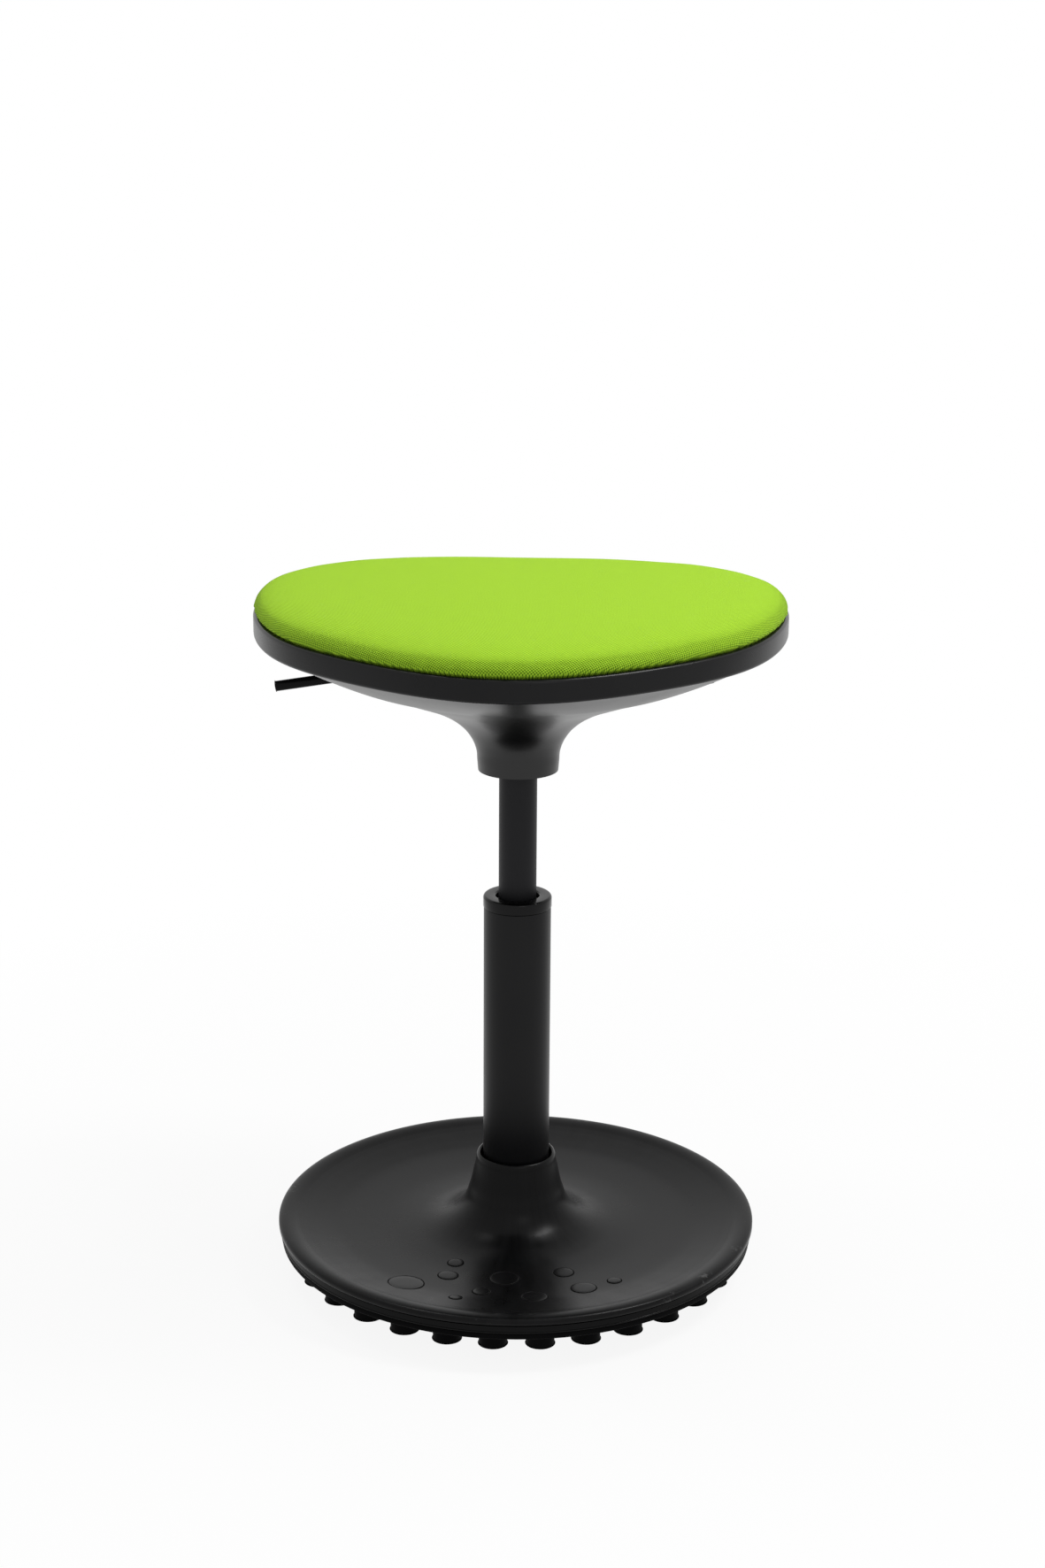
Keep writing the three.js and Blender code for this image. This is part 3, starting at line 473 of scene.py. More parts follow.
def coverMaterial():
    # satin black with faint flow streaks out from the column, scuffs on the lip
    # and a fine groove bumped in round each dot, with painted shade in it
    values = coverFinish
    material, shader = newMaterial("coverPlastic")
    place = objectPlace(material)
    x, y, z = splitVector(material, place)
    flat = joinVector(material, x, y)
    radius = addVectorMath(material, "LENGTH", flat).outputs["Value"]
    angle = addMath(material, "ARCTAN2", y, x)
    polar = joinVector(material, addMath(material, "MULTIPLY", angle, values["streakTurns"]),
                       addMath(material, "MULTIPLY", radius, values["streakRuns"]), z)
    streak = addNoise(material, polar, *values["streak"])
    cloud = addNoise(material, place, *values["cloud"])
    tone = addMath(material, "ADD", addMath(material, "MULTIPLY", streak, values["streakShare"]),
                   addMath(material, "MULTIPLY", cloud, values["cloudShare"]))
    toned = addRange(material, tone, *values["toneRange"])
    base = addColourMix(material, toned, values["dark"], values["light"])
    scuffs = addRange(material, addNoise(material, place, *values["scuff"]), *values["scuffRange"])
    marks = addMath(material, "MULTIPLY", scuffs, addRange(material, radius, *values["lip"]))
    worn = addColourMix(material, marks, base, values["scuffTone"])
    ring = None
    for dotX, dotY, width in coverValues["dots"]:
        away = addVectorMath(material, "DISTANCE", flat)
        away.inputs[1].default_value = (dotX / 1000, dotY / 1000, 0)
        past = addMath(material, "SUBTRACT", away.outputs["Value"], width / 2000 + values["grooveOut"])
        off = addMath(material, "ABSOLUTE", past)
        ring = off if ring is None else addMath(material, "MINIMUM", ring, off)
    groove = addRange(material, ring, *values["grooveRange"])
    rough = addRange(material, tone, *values["roughness"])
    grooveRough = addMath(material, "MULTIPLY", groove, values["grooveRough"])
    sunk = addMath(material, "MULTIPLY", groove, -1.0)
    grain = addNoise(material, place, *values["grain"])
    bump = addBump(material, grain, values["grainDepth"], values["grainStrength"])
    # painted shade: the dark groove colour stands for shade in the groove round each dot
    wireFinish(material, shader, addColourMix(material, groove, worn, values["grooveShadeTone"]),
               addMath(material, "MAXIMUM", rough, grooveRough),
               addBump(material, sunk, values["grooveDepth"], under=bump))
    shader.inputs["Specular IOR Level"].default_value = values["specular"]
    return material


def makeCover(material):
    values = coverValues
    dish = smoothLine(values["dish"], values["dishParts"])
    line = values["rim"] + dish[1:] + values["collar"][1:] + values["inside"] + [values["rim"][0]]
    cover = spinProfile("baseCover", line, values["steps"])
    smoothShade(cover, angle=50)
    finishPiece(cover, "base", material, ["base_cover"])

    # one dot, 1 m across, is modelled and copied to each place at its size
    dot = addCylinder(values["dotSides"], *values["dotStart"])
    selectParts(dot, "FACE", facesUp)
    for inset, rise in values["dotSteps"]:
        bpy.ops.mesh.inset(thickness=inset)
        bpy.ops.transform.translate(value=(0, 0, rise))
    bpy.ops.object.mode_set(mode="OBJECT")
    span = values["dotSlopeSpan"]
    places = []
    for x, y, width in values["dots"]:
        away = math.hypot(x, y)
        top = lineHeight(dish, away) - values["dotSink"]
        slope = math.atan2(lineHeight(dish, away + span) - lineHeight(dish, away - span), 2 * span)
        lean = Matrix.Rotation(math.atan2(y, x), 4, "Z") @ Matrix.Rotation(-slope, 4, "Y")
        size = Matrix.Diagonal((width / 1000, width / 1000, values["dotHeight"] / 1000, 1))
        places.append(Matrix.Translation((x / 1000, y / 1000, top / 1000)) @ lean @ size)
    buttons = joinPieces(placeCopies(dot, places), "coverButtons")
    smoothShade(buttons, angle=35)
    finishPiece(buttons, "base", material, ["base_cover"])


soleValues = {
    "rocker": 900, "radius": 179.0, "studHeight": 6.5, "thickness": 4.6, "edgeRound": 0.9,
    "steps": 128, "curveParts": 10,
    "rings": [(161, 30), (98, 18), (35, 7), (0, 1)],  # radius, count
    "studTurn": -93, "studSides": 28, "studRoot": 10.6, "studFoot": 10.2,
    "footHeight": 4, "shankHeight": 5, "rootSink": 0.8, "footInset": 0.2, "footRound": 0.9,
    "flatWithin": 50,  # the rings inside this radius stand on the floor
}

trayValues = {
    "gap": 0.3, "top": 34.7, "wall": 4.5, "floor": 3.0, "edgeRound": 0.3,
    # [radius, height over the foot of the tray's wall]
    "flange": [[179.6, 0.1], [179.9, 0.5], [179.6, 0.9], [179.0, 1.2]],
}


def sag(radius):
    return soleValues["rocker"] - math.sqrt(soleValues["rocker"] ** 2 - radius ** 2)


def rockerLine(radius, height):
    # from the middle out to the radius, along the rocker's curve
    parts = soleValues["curveParts"]
    return [[radius * i / parts, height + sag(radius * i / parts)] for i in range(parts + 1)]


def makeSole(material):
    values = soleValues
    under = rockerLine(values["radius"], values["studHeight"])
    over = rockerLine(values["radius"], values["studHeight"] + values["thickness"])
    sole = spinProfile("soleDisc", under + over[::-1], values["steps"])
    roundEdges(sole, values["edgeRound"], limit=50)

    # one tapered stud with a rounded foot, copied round each ring
    stud = addCylinder(values["studSides"], values["studFoot"], values["footHeight"],
                       (0, 0, values["footHeight"] / 2))
    selectParts(stud, "FACE", facesUp)
    rise = (0, 0, values["shankHeight"] / 1000)
    bpy.ops.mesh.extrude_region_move(TRANSFORM_OT_translate={"value": rise})
    grow = values["studRoot"] / values["studFoot"]
    bpy.ops.transform.resize(value=(grow, grow, 1))
    selectParts(stud, "FACE", facesDown)
    bpy.ops.mesh.inset(thickness=values["footInset"] / 1000)
    bpy.ops.mesh.bevel(offset=values["footRound"] / 1000, segments=3, affect="EDGES")
    bpy.ops.object.mode_set(mode="OBJECT")
    applyPlace()
    places = []
    for ring, count in values["rings"]:
        foot = 0 if ring < values["flatWithin"] else sag(ring - values["studFoot"])
        root = values["studHeight"] + sag(ring + values["studRoot"]) + values["rootSink"]
        size = Matrix.Diagonal((1, 1, (root - foot) / (values["footHeight"] + values["shankHeight"]), 1))
        for i in range(count):
            angle = math.radians(values["studTurn"]) + i * math.tau / count
            place = (ring * math.cos(angle) / 1000, ring * math.sin(angle) / 1000, foot / 1000)
            places.append(Matrix.Translation(place) @ size)
    sole = joinPieces([sole] + placeCopies(stud, places), "studdedSole")
    smoothShade(sole)
    finishPiece(sole, "base", material, ["rubber_sole"])


def makeTray(material):
    # plate between the sole and the cover, with a low wall and a thin flange round its foot
    values = trayValues
    radius = soleValues["radius"]
    foot = soleValues["studHeight"] + soleValues["thickness"] + values["gap"]
    inner = radius - values["wall"]
    down = rockerLine(radius, foot)
    up = rockerLine(inner, foot + values["floor"])
    flange = [[r, down[-1][1] + z] for r, z in values["flange"]]
    wall = [[radius, values["top"]], [inner, values["top"]]]
    tray = spinProfile("trayShell", down + flange + wall + up[::-1], soleValues["steps"])
    roundEdges(tray, values["edgeRound"], limit=50)
    smoothShade(tray)
    finishPiece(tray, "base", material, ["base_tray"])


# gas spring column: [radius, height] in mm, edge rounds as width, segments and angle limit
columnValues = {
    "outerTube": {
        "line": [[23, 27.3], [25, 27.3], [25, 287], [23, 287], [23, 27.3]],
        "round": (0.5, 3), "body": "base", "slot": "black_paint", "finish": "tubePaint",
        "node": "outer_tube",
    },
    "columnCap": {
        "line": [[14.3, 215.3], [22.7, 215.3], [22.7, 287.3], [25.5, 287.3], [25.5, 294.2], [24.9, 295.3],
                 [23.9, 295.8], [17.0, 295.8], [16.0, 294.8], [16.0, 290.8], [14.3, 289.8], [14.3, 215.3]],
        "round": (0.35, 3, 25), "body": "base", "slot": "gloss_black_plastic", "finish": "capGloss",
        "node": "guide_bush",
    },
    "innerTube": {
        "line": [[11.4, 150], [14, 150], [14, 424], [13.2, 472], [11.4, 472], [11.4, 150]],
        "round": (0.5, 2), "body": "seat", "slot": "grey_paint", "finish": "innerPaint",
        "node": "pressure_tube",
    },
}


def makeColumn(finishes):
    for name, values in columnValues.items():
        piece = spinProfile(name, values["line"])
        roundEdges(piece, *values["round"])
        smoothShade(piece)
        finishPiece(piece, values["body"], finishes[values["finish"]], [values["node"]])


# seat: its outline is a mean radius and six cosine waves round from the front, in mm
outlineValues = {"mean": 185.1, "waves": (1.9, -11.3, 12.7, -2.1, 1.2, 1.8)}


def outlineRadius(place):
    fromFront = math.atan2(place.x, -place.y)
    waves = enumerate(outlineValues["waves"], start=1)
    return outlineValues["mean"] + sum(wave * math.cos(n * fromFront) for n, wave in waves)


def followOutline(piece, follow):
    # pushes a round piece out to the seat's own outline, by the share that follow gives at a radius
    for vertex in piece.data.vertices:
        radius = math.hypot(vertex.co.x, vertex.co.y)
        if radius < weldDistance:
            continue
        off = outlineRadius(vertex.co) - outlineValues["mean"]
        grow = (radius + follow(radius * 1000) * off / 1000) / radius
        vertex.co.x *= grow
        vertex.co.y *= grow


shellValues = {
    "edge": 179.0, "crease": 0.6,  # the outline shows from this share of the edge's radius outwards
    "outside": [[29.4, 392.6], [30.0, 399.9], [30.7, 407.7], [34.1, 416.6], [41.2, 426.1],
                [53.4, 435.6], [71.2, 444.8], [95.0, 454.2], [112.8, 460.9], [133.6, 467.4],
                [156.4, 477.0], [179.0, 488.7]],
    "kink": 7,  # the outside's smooth curves meet at this point
    "outsideParts": 5,
    "inside": [[176.0, 488.7], [154.3, 480.0], [132.1, 470.6], [111.8, 464.2], [93.5, 457.5],
               [69.1, 448.3], [50.2, 439.0], [37.7, 429.5], [30.9, 418.8], [27.4, 407.7], [26.4, 392.6]],
    "insideParts": 3, "steps": 128,
    "slot": (-147.1, -96.1),  # the lever's slot, from and to along X
    "slotWidth": 12, "slotHeight": 60, "slotMiddle": 464, "slotRound": 5.8,
    "uprightEdge": 0.01,      # m, edges that rise more than this are the slot's corners
}

screwValues = {
    "ring": 150.1,
    # degrees round, height of the seat that the head lies on
    "places": [(-28, 481.9), (48, 479.6), (132, 479.6), (208, 481.9)],
    # pan head and shank, [radius, height from the seat] in mm
    "line": [[0, -2.8], [2.2, -2.7], [3.6, -2.2], [4.3, -1.3], [4.5, -0.3], [4.5, 0.0], [2.1, 0.0],
             [2.1, 17.0], [0, 18.5]],
    "steps": 40, "gap": 0.3,
    "recess": (4.8, 0.9, 3.0), "recessMiddle": -2.8,  # each bar's length, width and depth, its height
    # cylinders: radius, start below the seat, end at a height or at the seat itself
    "boss": (7.0, 4.0, 491.5), "sunkHole": (4.8, 16.0, None), "pilotHole": (2.4, 1.0, 492.5),
    "holeSides": 36,
}


def shellFollow(radius):
    crease = shellValues["crease"]
    spread = max(0, (radius / shellValues["edge"] - crease) / (1 - crease))
    return min(1, spread * spread * (3 - 2 * spread))


def screwPlaces():
    for turn, seat in screwValues["places"]:
        angle = math.radians(turn)
        yield screwValues["ring"] * math.cos(angle), screwValues["ring"] * math.sin(angle), seat


def addScrewBosses(shell):
    # bosses inside the shell, each with a sunk hole for the screw's head and a pilot hole
    made = {"boss": [], "sunkHole": [], "pilotHole": []}
    for x, y, seat in screwPlaces():
        for kind, pieces in made.items():
            radius, under, top = screwValues[kind]
            low, high = seat - under, top or seat
            place = (x, y, (low + high) / 2)
            pieces.append(addCylinder(screwValues["holeSides"], radius, high - low, place))
    for boss in made["boss"]:
        combine(shell, boss, "UNION")
    for holes in zip(made["sunkHole"], made["pilotHole"]):
        for hole in holes:
            combine(shell, hole, "DIFFERENCE")


def makeShellScrews(material):
    # pan head with a cross recess, looking down out of the shell
    values = screwValues
    long, thin, deep = values["recess"]
    screws = []
    for x, y, seat in screwPlaces():
        screw = spinProfile("screw", values["line"], values["steps"])
        for size in ((long, thin, deep), (thin, long, deep)):
            combine(screw, addBlock(size, (0, 0, values["recessMiddle"])), "DIFFERENCE")
        makeActive(screw)
        bpy.ops.transform.translate(value=(x / 1000, y / 1000, (seat - values["gap"]) / 1000))
        applyPlace()
        screws.append(screw)
    joined = joinPieces(screws, "shellScrews")
    smoothShade(joined, angle=35)
    finishPiece(joined, "seat", material,
                ["shell_screw_1", "shell_screw_2", "shell_screw_3", "shell_screw_4"])


def makeShell(material):
    values = shellValues
    low = smoothLine(values["outside"][:values["kink"] + 1], values["outsideParts"])
    high = smoothLine(values["outside"][values["kink"]:], values["outsideParts"])
    inside = smoothLine(values["inside"], values["insideParts"])
    shell = spinProfile("seatShell", low + high[1:] + inside + [low[0]], values["steps"])
    followOutline(shell, shellFollow)

    start, end = values["slot"]
    slot = addBlock((end - start, values["slotWidth"], values["slotHeight"]),
                    ((start + end) / 2, 0, values["slotMiddle"]))

    def standsUpright(edge):
        a, b = (slot.data.vertices[i].co for i in edge.vertices)
        return abs(a.z - b.z) > values["uprightEdge"]

    selectParts(slot, "EDGE", standsUpright)
    bpy.ops.mesh.bevel(offset=values["slotRound"] / 1000, segments=8, affect="EDGES")
    bpy.ops.object.mode_set(mode="OBJECT")
    combine(shell, slot, "DIFFERENCE")
    addScrewBosses(shell)
    smoothShade(shell)
    finishPiece(shell, "seat", material, ["seat_shell"])


rimValues = {
    # [radius past the outline's mean, height] in mm
    "under": [[-12, 489.3], [-3, 489.0]],
    # middle, radius, from and to in degrees
    "footRound": ((-3, 492.0), 3.0, -80, 0), "topRound": ((-2.6, 503.4), 2.6, 0, 90),
    "inside": [[-3.9, 505.9], [-4.4, 505.4], [-4.4, 491.5], [-12, 491.5], [-12, 489.3]],
    "top": 506.0, "steps": 160,
}


def makeRim(material):
    values = rimValues
    rounds = arcLine(*values["footRound"]) + arcLine(*values["topRound"])
    line = values["under"] + rounds + values["inside"]
    line = [[outlineValues["mean"] + out, height] for out, height in line]
    rim = spinProfile("rimBand", line, values["steps"])
    followOutline(rim, lambda radius: 1)
    smoothShade(rim, angle=50)
    finishPiece(rim, "seat", material, ["rim_band"])


padValues = {
    "foot": 502.1,              # height of the underside
    "edge": 14.0,               # the roll stands this much over the rim
    "crown": 6.0,               # and the middle this much over the roll
    "inset": 4.7, "over": 0.6,  # the tucked side in from the outline, the roll out past the outline
    "underShares": (0, 0.25, 0.5, 0.75),
    # shares of the way out and of the way up the edge
    "side": ((0, 0.03), (0.42, 0.06), (0.78, 0.11), (0.96, 0.2), (1, 0.36)),
    # shares of the radius, of the edge and of the crown
    "roll": ((0.995, 0.58, 0.02), (0.98, 0.8, 0.06), (0.955, 0.93, 0.1), (0.915, 0.99, 0.18),
             (0.84, 1, 0.32), (0.7, 1, 0.55), (0.5, 1, 0.78), (0.25, 1, 0.95), (0, 1, 1)),
    "rollDrop": 0.4,
    "outlineFrom": 0.9,         # the middle stays round, the outline is full at this share of the mean
    "voxel": 3.6,
    "pressure": 3.0, "frames": 20, "quality": 5,
    "held": 1.5, "upper": 3.0,  # over the rim: held below the first, evened out above the second
    "move": 1.6, "spread": 25,  # most that a point is pushed in mm, turns of spreading the push
    "evenFactor": 0.5, "evenTurns": 4,
    "tuckStart": 0.6, "tuckHeight": 3.0,  # over the rim, the tuck is full up to the first
    "weaveAcross": 2.35, "weaveAlong": 2.6,  # mm between the raised stitches
    "sideStretch": 1.1,  # the cloth down the side is this many times its height
}

weaveFinish = {
    "wobbleScale": 0.35, "wobbleNoise": (1.0, 3), "wobble": (0, 1, -0.12, 0.12),
    "raised": (-0.6, 0.5),
    "fibreScale": (9, 2.2, 1), "fibre": (1.4, 3, 0.6), "fibreShade": (0.25, 0.75, 0.78, 1.0),
    # the gaps between the stitches are painted shade, darker on the roll, where the pad faces sideways,
    # than on the top
    "flatness": (0.75, 0.999), "rollGapShade": (0.07, 0.18, 0.003), "topGapShade": (0.22, 0.43, 0.018),
    "thread": (0.47, 0.77, 0.040),
    "patch": (0.5, 3), "patchRange": (0.35, 0.65, 0, 0.10), "patchTone": (0.36, 0.66, 0.018),
    "roughness": (0.2, 0.8, 0.78, 0.92), "threadDepth": 0.00045, "threadStrength": 0.8,
    "fibreDepth": 0.00008, "fibreStrength": 0.5,
    "specular": 0.1, "sheen": 0.1, "sheenRoughness": 0.45, "sheenTint": (0.7, 1.0, 0.25, 1),
}


def padLine():
    values = padValues
    mean, top, edge = outlineValues["mean"], rimValues["top"], values["edge"]
    tuck = mean - values["inset"]
    line = [[mean * share, values["foot"]] for share in values["underShares"]] + [[tuck, values["foot"]]]
    for out, up in values["side"]:
        line.append([tuck + out * (values["inset"] + values["over"]), top + up * edge])
    for share, up, crown in values["roll"]:
        line.append([share * mean, top + up * edge + crown * values["crown"] - values["rollDrop"]])
    return line


def padFollow(radius):
    return min(1, radius / (outlineValues["mean"] * padValues["outlineFrom"]))


def weaveMaterial():
    # lime mesh weave: rows of raised stitches, each row half a stitch over, on the pad's own UV map
    values = weaveFinish
    material, shader = newMaterial("limeWeave")
    nodes = material.node_tree.nodes
    uv = nodes.new("ShaderNodeUVMap")
    uv.uv_map = "weave"
    slow = addVectorMath(material, "SCALE", uv.outputs[0])
    slow.inputs["Scale"].default_value = values["wobbleScale"]
    uneven = addNoise(material, slow.outputs[0], *values["wobbleNoise"])
    wobble = addRange(material, uneven, *values["wobble"])
    waves = []
    for way in splitVector(material, uv.outputs[0])[:2]:
        turns = addMath(material, "MULTIPLY", addMath(material, "ADD", way, wobble), math.tau)
        waves.append(addMath(material, "COSINE", turns))
    raised = addRange(material, addMath(material, "MULTIPLY", *waves), *values["raised"])
    fibre = addNoise(material, addMapping(material, uv.outputs[0], values["fibreScale"]), *values["fibre"])
    thread = addMath(material, "MULTIPLY", raised, addRange(material, fibre, *values["fibreShade"]))
    normal = nodes.new("ShaderNodeTexCoord").outputs["Normal"]
    # painted shade: the gap colour darkens as the surface turns from facing up to facing sideways
    flatness = addRange(material, splitVector(material, normal)[2], *values["flatness"])
    gap = addColourMix(material, flatness, values["rollGapShade"], values["topGapShade"])
    lime = addColourMix(material, thread, gap, values["thread"])
    blotches = addNoise(material, slow.outputs[0], *values["patch"])
    patches = addRange(material, blotches, *values["patchRange"])
    bump = addBump(material, thread, values["threadDepth"], values["threadStrength"])
    wireFinish(material, shader, addColourMix(material, patches, lime, values["patchTone"]),
               addRange(material, fibre, *values["roughness"]),
               addBump(material, fibre, values["fibreDepth"], values["fibreStrength"], bump))
    shader.inputs["Specular IOR Level"].default_value = values["specular"]
    shader.inputs["Sheen Weight"].default_value = values["sheen"]
    shader.inputs["Sheen Roughness"].default_value = values["sheenRoughness"]
    shader.inputs["Sheen Tint"].default_value = values["sheenTint"]
    return material


def fillWithFoam(pad):
    # cloth under pressure, held where it sits on the board
    values = padValues
    held = pad.vertex_groups.new(name="held")
    low = (rimValues["top"] + values["held"]) / 1000
    held.add([v.index for v in pad.data.vertices if v.co.z < low], 1.0, "REPLACE")
    before = [v.co.copy() for v in pad.data.vertices]
    makeActive(pad)
    cloth = pad.modifiers.new("fill", "CLOTH")
    cloth.settings.use_pressure = True
    cloth.settings.uniform_pressure_force = values["pressure"]
    cloth.settings.effector_weights.gravity = 0
    cloth.settings.vertex_group_mass = "held"
    cloth.settings.quality = values["quality"]
    for number in range(1, values["frames"] + 1):
        scene.frame_set(number)
    bpy.ops.object.modifier_apply(modifier=cloth.name)
    scene.frame_set(1)
    most = values["move"] / 1000
    moves = []
    for vertex, start in zip(pad.data.vertices, before):
        move = vertex.co - start
        if move.length > most:
            move = move * (most / move.length)
        moves.append(move)
    # foam spreads the push between neighbouring points
    for turn in range(values["spread"]):
        total = [move.copy() for move in moves]
        count = [1] * len(moves)
        for edge in pad.data.edges:
            a, b = edge.vertices
            total[a] += moves[b]
            total[b] += moves[a]
            count[a] += 1
            count[b] += 1
        moves = [whole / number for whole, number in zip(total, count)]
    for vertex, start, move in zip(pad.data.vertices, before, moves):
        vertex.co = start + move
    upper = pad.vertex_groups.new(name="upper")
    high = (rimValues["top"] + values["upper"]) / 1000
    upper.add([v.index for v in pad.data.vertices if v.co.z > high], 1.0, "REPLACE")
    even = pad.modifiers.new("even", "SMOOTH")
    even.vertex_group = "upper"
    even.factor = values["evenFactor"]
    even.iterations = values["evenTurns"]
    bpy.ops.object.modifier_apply(modifier=even.name)
    print("pad top", round(max(v.co.z for v in pad.data.vertices) * 1000, 2))


def tuckIn(pad):
    # the cover tucks in below the rim's top and stays clear of the rim and the board
    values = padValues
    for vertex in pad.data.vertices:
        place = vertex.co
        radius = math.hypot(place.x, place.y)
        over = place.z * 1000 - rimValues["top"] - values["tuckStart"]
        under = 1 - min(1, max(0, over / values["tuckHeight"]))
        most = (outlineRadius(place) - values["inset"] * under * under) / 1000
        if under > 0 and radius > most:
            place.x *= most / radius
            place.y *= most / radius
        place.z = max(place.z, values["foot"] / 1000)


def layOutWeave(pad):
    # UV map in stitches: the cloth is laid out flat, measured along the surface from the crown
    values = padValues
    layer = pad.data.uv_layers.new(name="weave")
    dome = (rimValues["top"] + values["edge"]) / 1000
    for loop in pad.data.loops:
        place = pad.data.vertices[loop.vertex_index].co
        radius = math.hypot(place.x, place.y)
        run = radius + max(0, dome - place.z) * values["sideStretch"]
        grow = run / radius if radius > weldDistance else 1
        layer.data[loop.index].uv = (place.x * grow * 1000 / values["weaveAcross"],
                                     place.y * grow * 1000 / values["weaveAlong"])


def makePad(material):
    pad = spinProfile("seatPad", padLine())
    followOutline(pad, padFollow)
    makeActive(pad)
    pad.data.remesh_voxel_size = padValues["voxel"] / 1000
    bpy.ops.object.voxel_remesh()
    fillWithFoam(pad)
    tuckIn(pad)
    makeActive(pad)
    refine = pad.modifiers.new("refine", "SUBSURF")
    refine.levels = 1
    refine.render_levels = 1
    bpy.ops.object.modifier_apply(modifier=refine.name)
    bpy.ops.object.shade_smooth()
    layOutWeave(pad)
    finishPiece(pad, "seat", material, ["cushion"])


# release lever, mm; places are [along X, height]
leverValues = {
    "outerEnd": (-177.0, 451.7), "middle": (0.0, 480.9),
    "past": 7.0,  # the rod runs this far past the middle
    "radius": 3.8, "sides": 40,
    "endInset": 0.2, "endRound": 0.7,
    "endFace": 0.00001,  # m2, the flat of the end is larger than this
    "dimpleInset": 0.8, "dimpleDepth": 0.3,
    "pivot": 34.0, "hub": (15.0, 10.0, 12.0), "hubRound": 1.0,
    "pinHole": 2.3, "pinHoleLength": 20, "pinHoleSides": 24,
}


def makeLever(material):
    values = leverValues
    (outer, outerHeight), (middle, middleHeight) = values["outerEnd"], values["middle"]
    slope = math.atan2(middleHeight - outerHeight, middle - outer)
    lean = Matrix.Rotation(-slope, 4, "Y")
    length = (middle - outer) / math.cos(slope) + values["past"]
    rod = addCylinder(values["sides"], values["radius"], length)
    # a rounded edge and a shallow dimple on the outer end
    selectParts(rod, "FACE", facesDown)
    bpy.ops.mesh.inset(thickness=values["endInset"] / 1000)
    bpy.ops.mesh.bevel(offset=values["endRound"] / 1000, segments=4, affect="EDGES")
    selectParts(rod, "FACE", lambda face: facesDown(face) and face.area > values["endFace"])
    bpy.ops.mesh.inset(thickness=values["dimpleInset"] / 1000)
    bpy.ops.transform.translate(value=(0, 0, values["dimpleDepth"] / 1000))
    bpy.ops.object.mode_set(mode="OBJECT")
    back = Matrix.Translation(((values["past"] - length / 2) / 1000, 0, 0))
    lieDown = Matrix.Rotation(math.radians(90), 4, "Y")
    rod.matrix_world = Matrix.Translation((0, 0, middleHeight / 1000)) @ lean @ back @ lieDown
    applyPlace()

    pivotPlace = (-values["pivot"], 0, middleHeight - values["pivot"] * math.tan(slope))
    hub = addBlock(values["hub"])
    hub.matrix_world = Matrix.Translation([way / 1000 for way in pivotPlace]) @ lean
    applyPlace()
    roundEdges(hub, values["hubRound"])
    drill = addCylinder(values["pinHoleSides"], values["pinHole"], values["pinHoleLength"], pivotPlace,
                        (math.radians(90), 0, 0))
    combine(rod, hub, "UNION")
    combine(rod, drill, "DIFFERENCE")
    rod.name = "leverRod"
    smoothShade(rod, angle=35)
    finishPiece(rod, "lever", material, ["lever_rod"])


# the nodes that keep their CAD shape: start of the name and finish, the last one for all others
nodeFinishes = [
    ("ballast", "castIron"), ("seat_board", "birchPly"), ("end_guide", "nylonNatural"),
    ("bump_stop", "soleRubber"), ("rod_seal", "soleRubber"), ("piston_ring", "soleRubber"),
    ("column_socket", "tubePaint"), ("seat_plate", "tubePaint"), ("lever_bracket", "tubePaint"),
    ("", "zincSteel"),
]


def dressNodes(finishes):
    for name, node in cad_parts.items():
        material = next(finishes[finish] for start, finish in nodeFinishes if name.startswith(start))
        if not node.material_slots:
            node.data.materials.append(material)
        for slot in node.material_slots:
            slot.material = material


finishes = {"coverPlastic": coverMaterial(), "limeWeave": weaveMaterial(), "birchPly": woodMaterial()}
for name in plasticFinishes:
    finishes[name] = plasticMaterial(name)
for name in metalFinishes:
    finishes[name] = metalMaterial(name)
print("materials made")

dressNodes(finishes)
makeCover(finishes["coverPlastic"])
makeSole(finishes["soleRubber"])
makeTray(finishes["trayPlastic"])
makeColumn(finishes)
makeShell(finishes["shellPlastic"])
makeShellScrews(finishes["zincSteel"])
makeRim(finishes["rimPlastic"])
makeLever(finishes["leverPlastic"])
makePad(finishes["limeWeave"])
print("pieces made")

# floor, lamps, surroundings
studioValues = {
    "floorSize": 30.0, "floorWhite": 0.9, "floorRough": 0.9, "floorGlow": 0.9,
    "shadowReach": (0.3, 0.9),  # m, full shadow up to the first, white floor past the second
    "surround": 0.42,
    "aim": (0, 0, 0.35),
    # lamps: name, place, width and length, watts
    "lamps": [("overhead", (0.0, 0.1, 2.2), 0.6, 0.6, 6.0), ("right", (1.0, -0.05, 1.9), 0.35, 0.8, 18.0),
              ("left", (-0.75, 0.15, 2.1), 0.3, 0.3, 4.5), ("front", (0.6, -1.6, 1.3), 0.7, 0.7, 1.5)],
}


def backdropRays(owner):
    # 1 where the camera sees the backdrop straight, in a mirror or through glass
    path = owner.node_tree.nodes.new("ShaderNodeLightPath")
    seen = addMath(owner, "MAXIMUM", path.outputs["Is Camera Ray"], path.outputs["Is Glossy Ray"])
    return addMath(owner, "MAXIMUM", seen, path.outputs["Is Transmission Ray"])


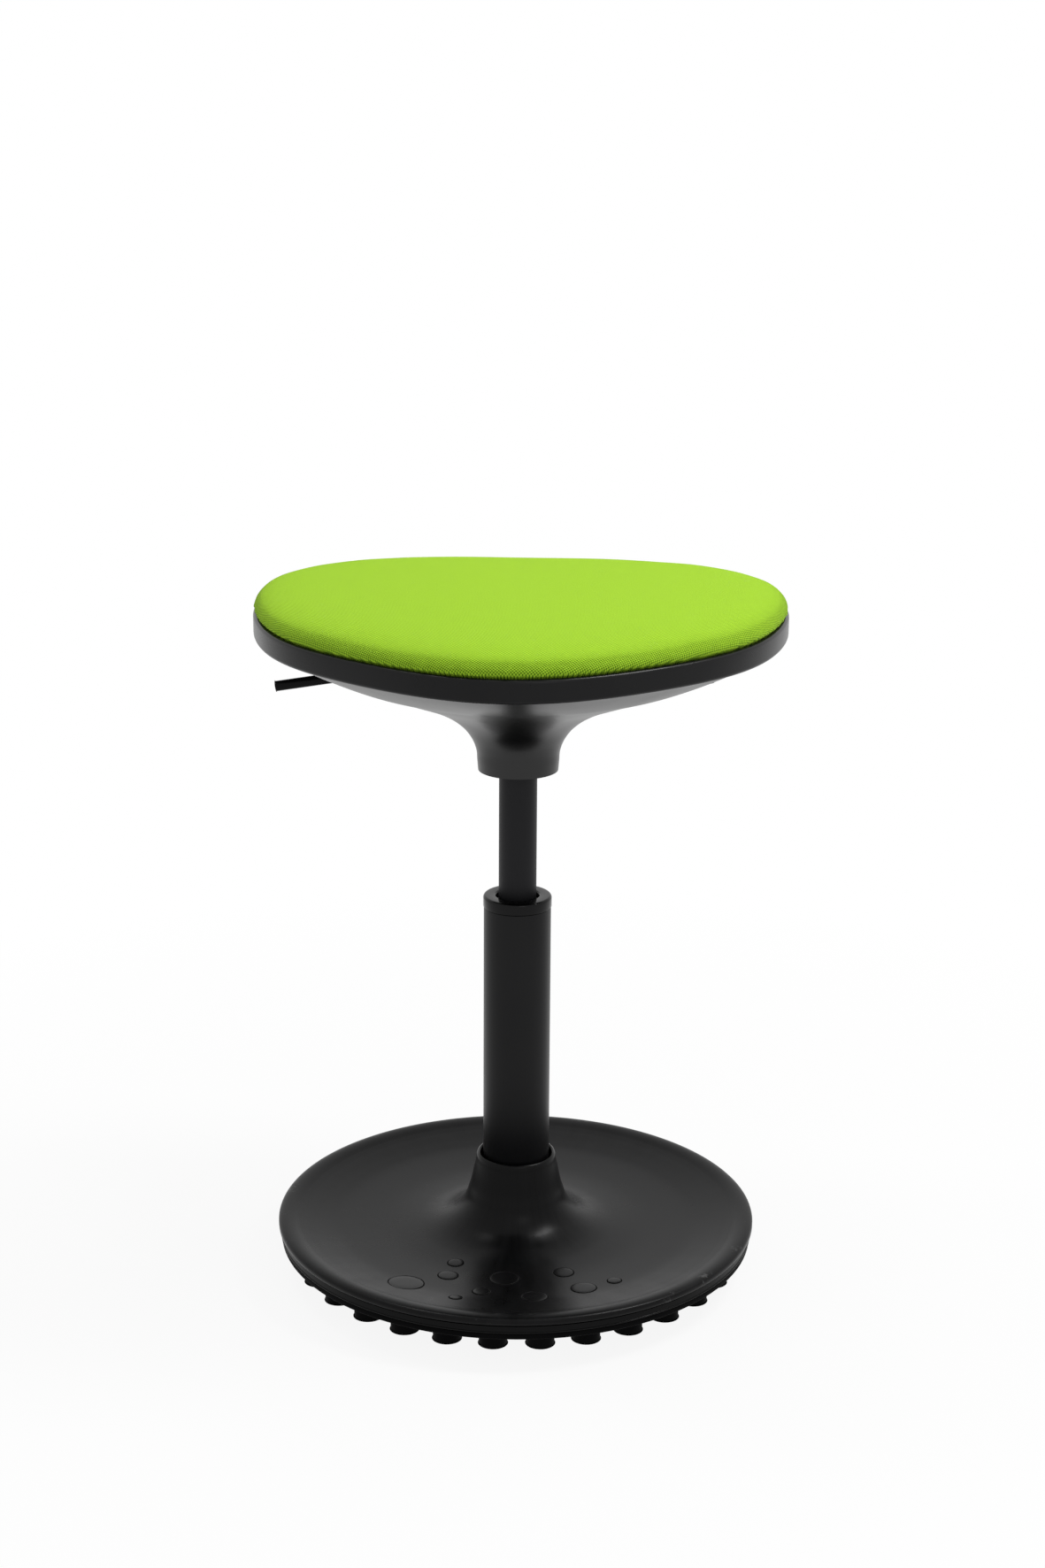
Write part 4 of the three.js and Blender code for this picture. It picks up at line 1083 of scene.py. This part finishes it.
def mixShaders(owner, factor, first, second, target):
    mix = owner.node_tree.nodes.new("ShaderNodeMixShader")
    for part, socket in zip((factor, first, second), mix.inputs):
        wire(owner, part, socket)
    wire(owner, mix.outputs[0], target.inputs["Surface"])


def makeFloor():
    values = studioValues
    clearSelection()
    bpy.ops.mesh.primitive_plane_add(size=values["floorSize"], location=(0, 0, 0))
    floor = bpy.context.object
    floor.name = "studioFloor"
    material, shader = newMaterial("paleFloor")
    nodes = material.node_tree.nodes
    white = values["floorWhite"]
    shader.inputs["Base Color"].default_value = (white, white, white, 1)
    shader.inputs["Roughness"].default_value = values["floorRough"]
    shader.inputs["Specular IOR Level"].default_value = 0.0
    away = addVectorMath(material, "LENGTH", objectPlace(material)).outputs["Value"]
    share = addRange(material, away, *values["shadowReach"], values["floorGlow"], 1.0)
    glow = nodes.new("ShaderNodeEmission")
    mixShaders(material, addMath(material, "MULTIPLY", backdropRays(material), share),
               shader.outputs[0], glow.outputs[0], nodes["Material Output"])
    floor.data.materials.append(material)


def makeSurround():
    world = bpy.data.worlds.new("studio")
    scene.world = world
    world.use_nodes = True
    nodes = world.node_tree.nodes
    nodes.clear()
    backgrounds = []
    for strength in (studioValues["surround"], 1.0):
        background = nodes.new("ShaderNodeBackground")
        background.inputs["Color"].default_value = (1, 1, 1, 1)
        background.inputs["Strength"].default_value = strength
        backgrounds.append(background.outputs[0])
    mixShaders(world, backdropRays(world), *backgrounds, nodes.new("ShaderNodeOutputWorld"))


def makeLamps():
    for name, place, width, length, watts in studioValues["lamps"]:
        data = bpy.data.lights.new(name, "AREA")
        data.shape = "RECTANGLE"
        data.size = width
        data.size_y = length
        data.energy = watts
        lamp = bpy.data.objects.new(name, data)
        scene.collection.objects.link(lamp)
        away = Vector(place) - Vector(studioValues["aim"])
        lamp.matrix_world = Matrix.Translation(place) @ away.to_track_quat("Z", "Y").to_matrix().to_4x4()


makeFloor()
makeSurround()
makeLamps()
scene.view_settings.view_transform = "Standard"
print("studio ready")
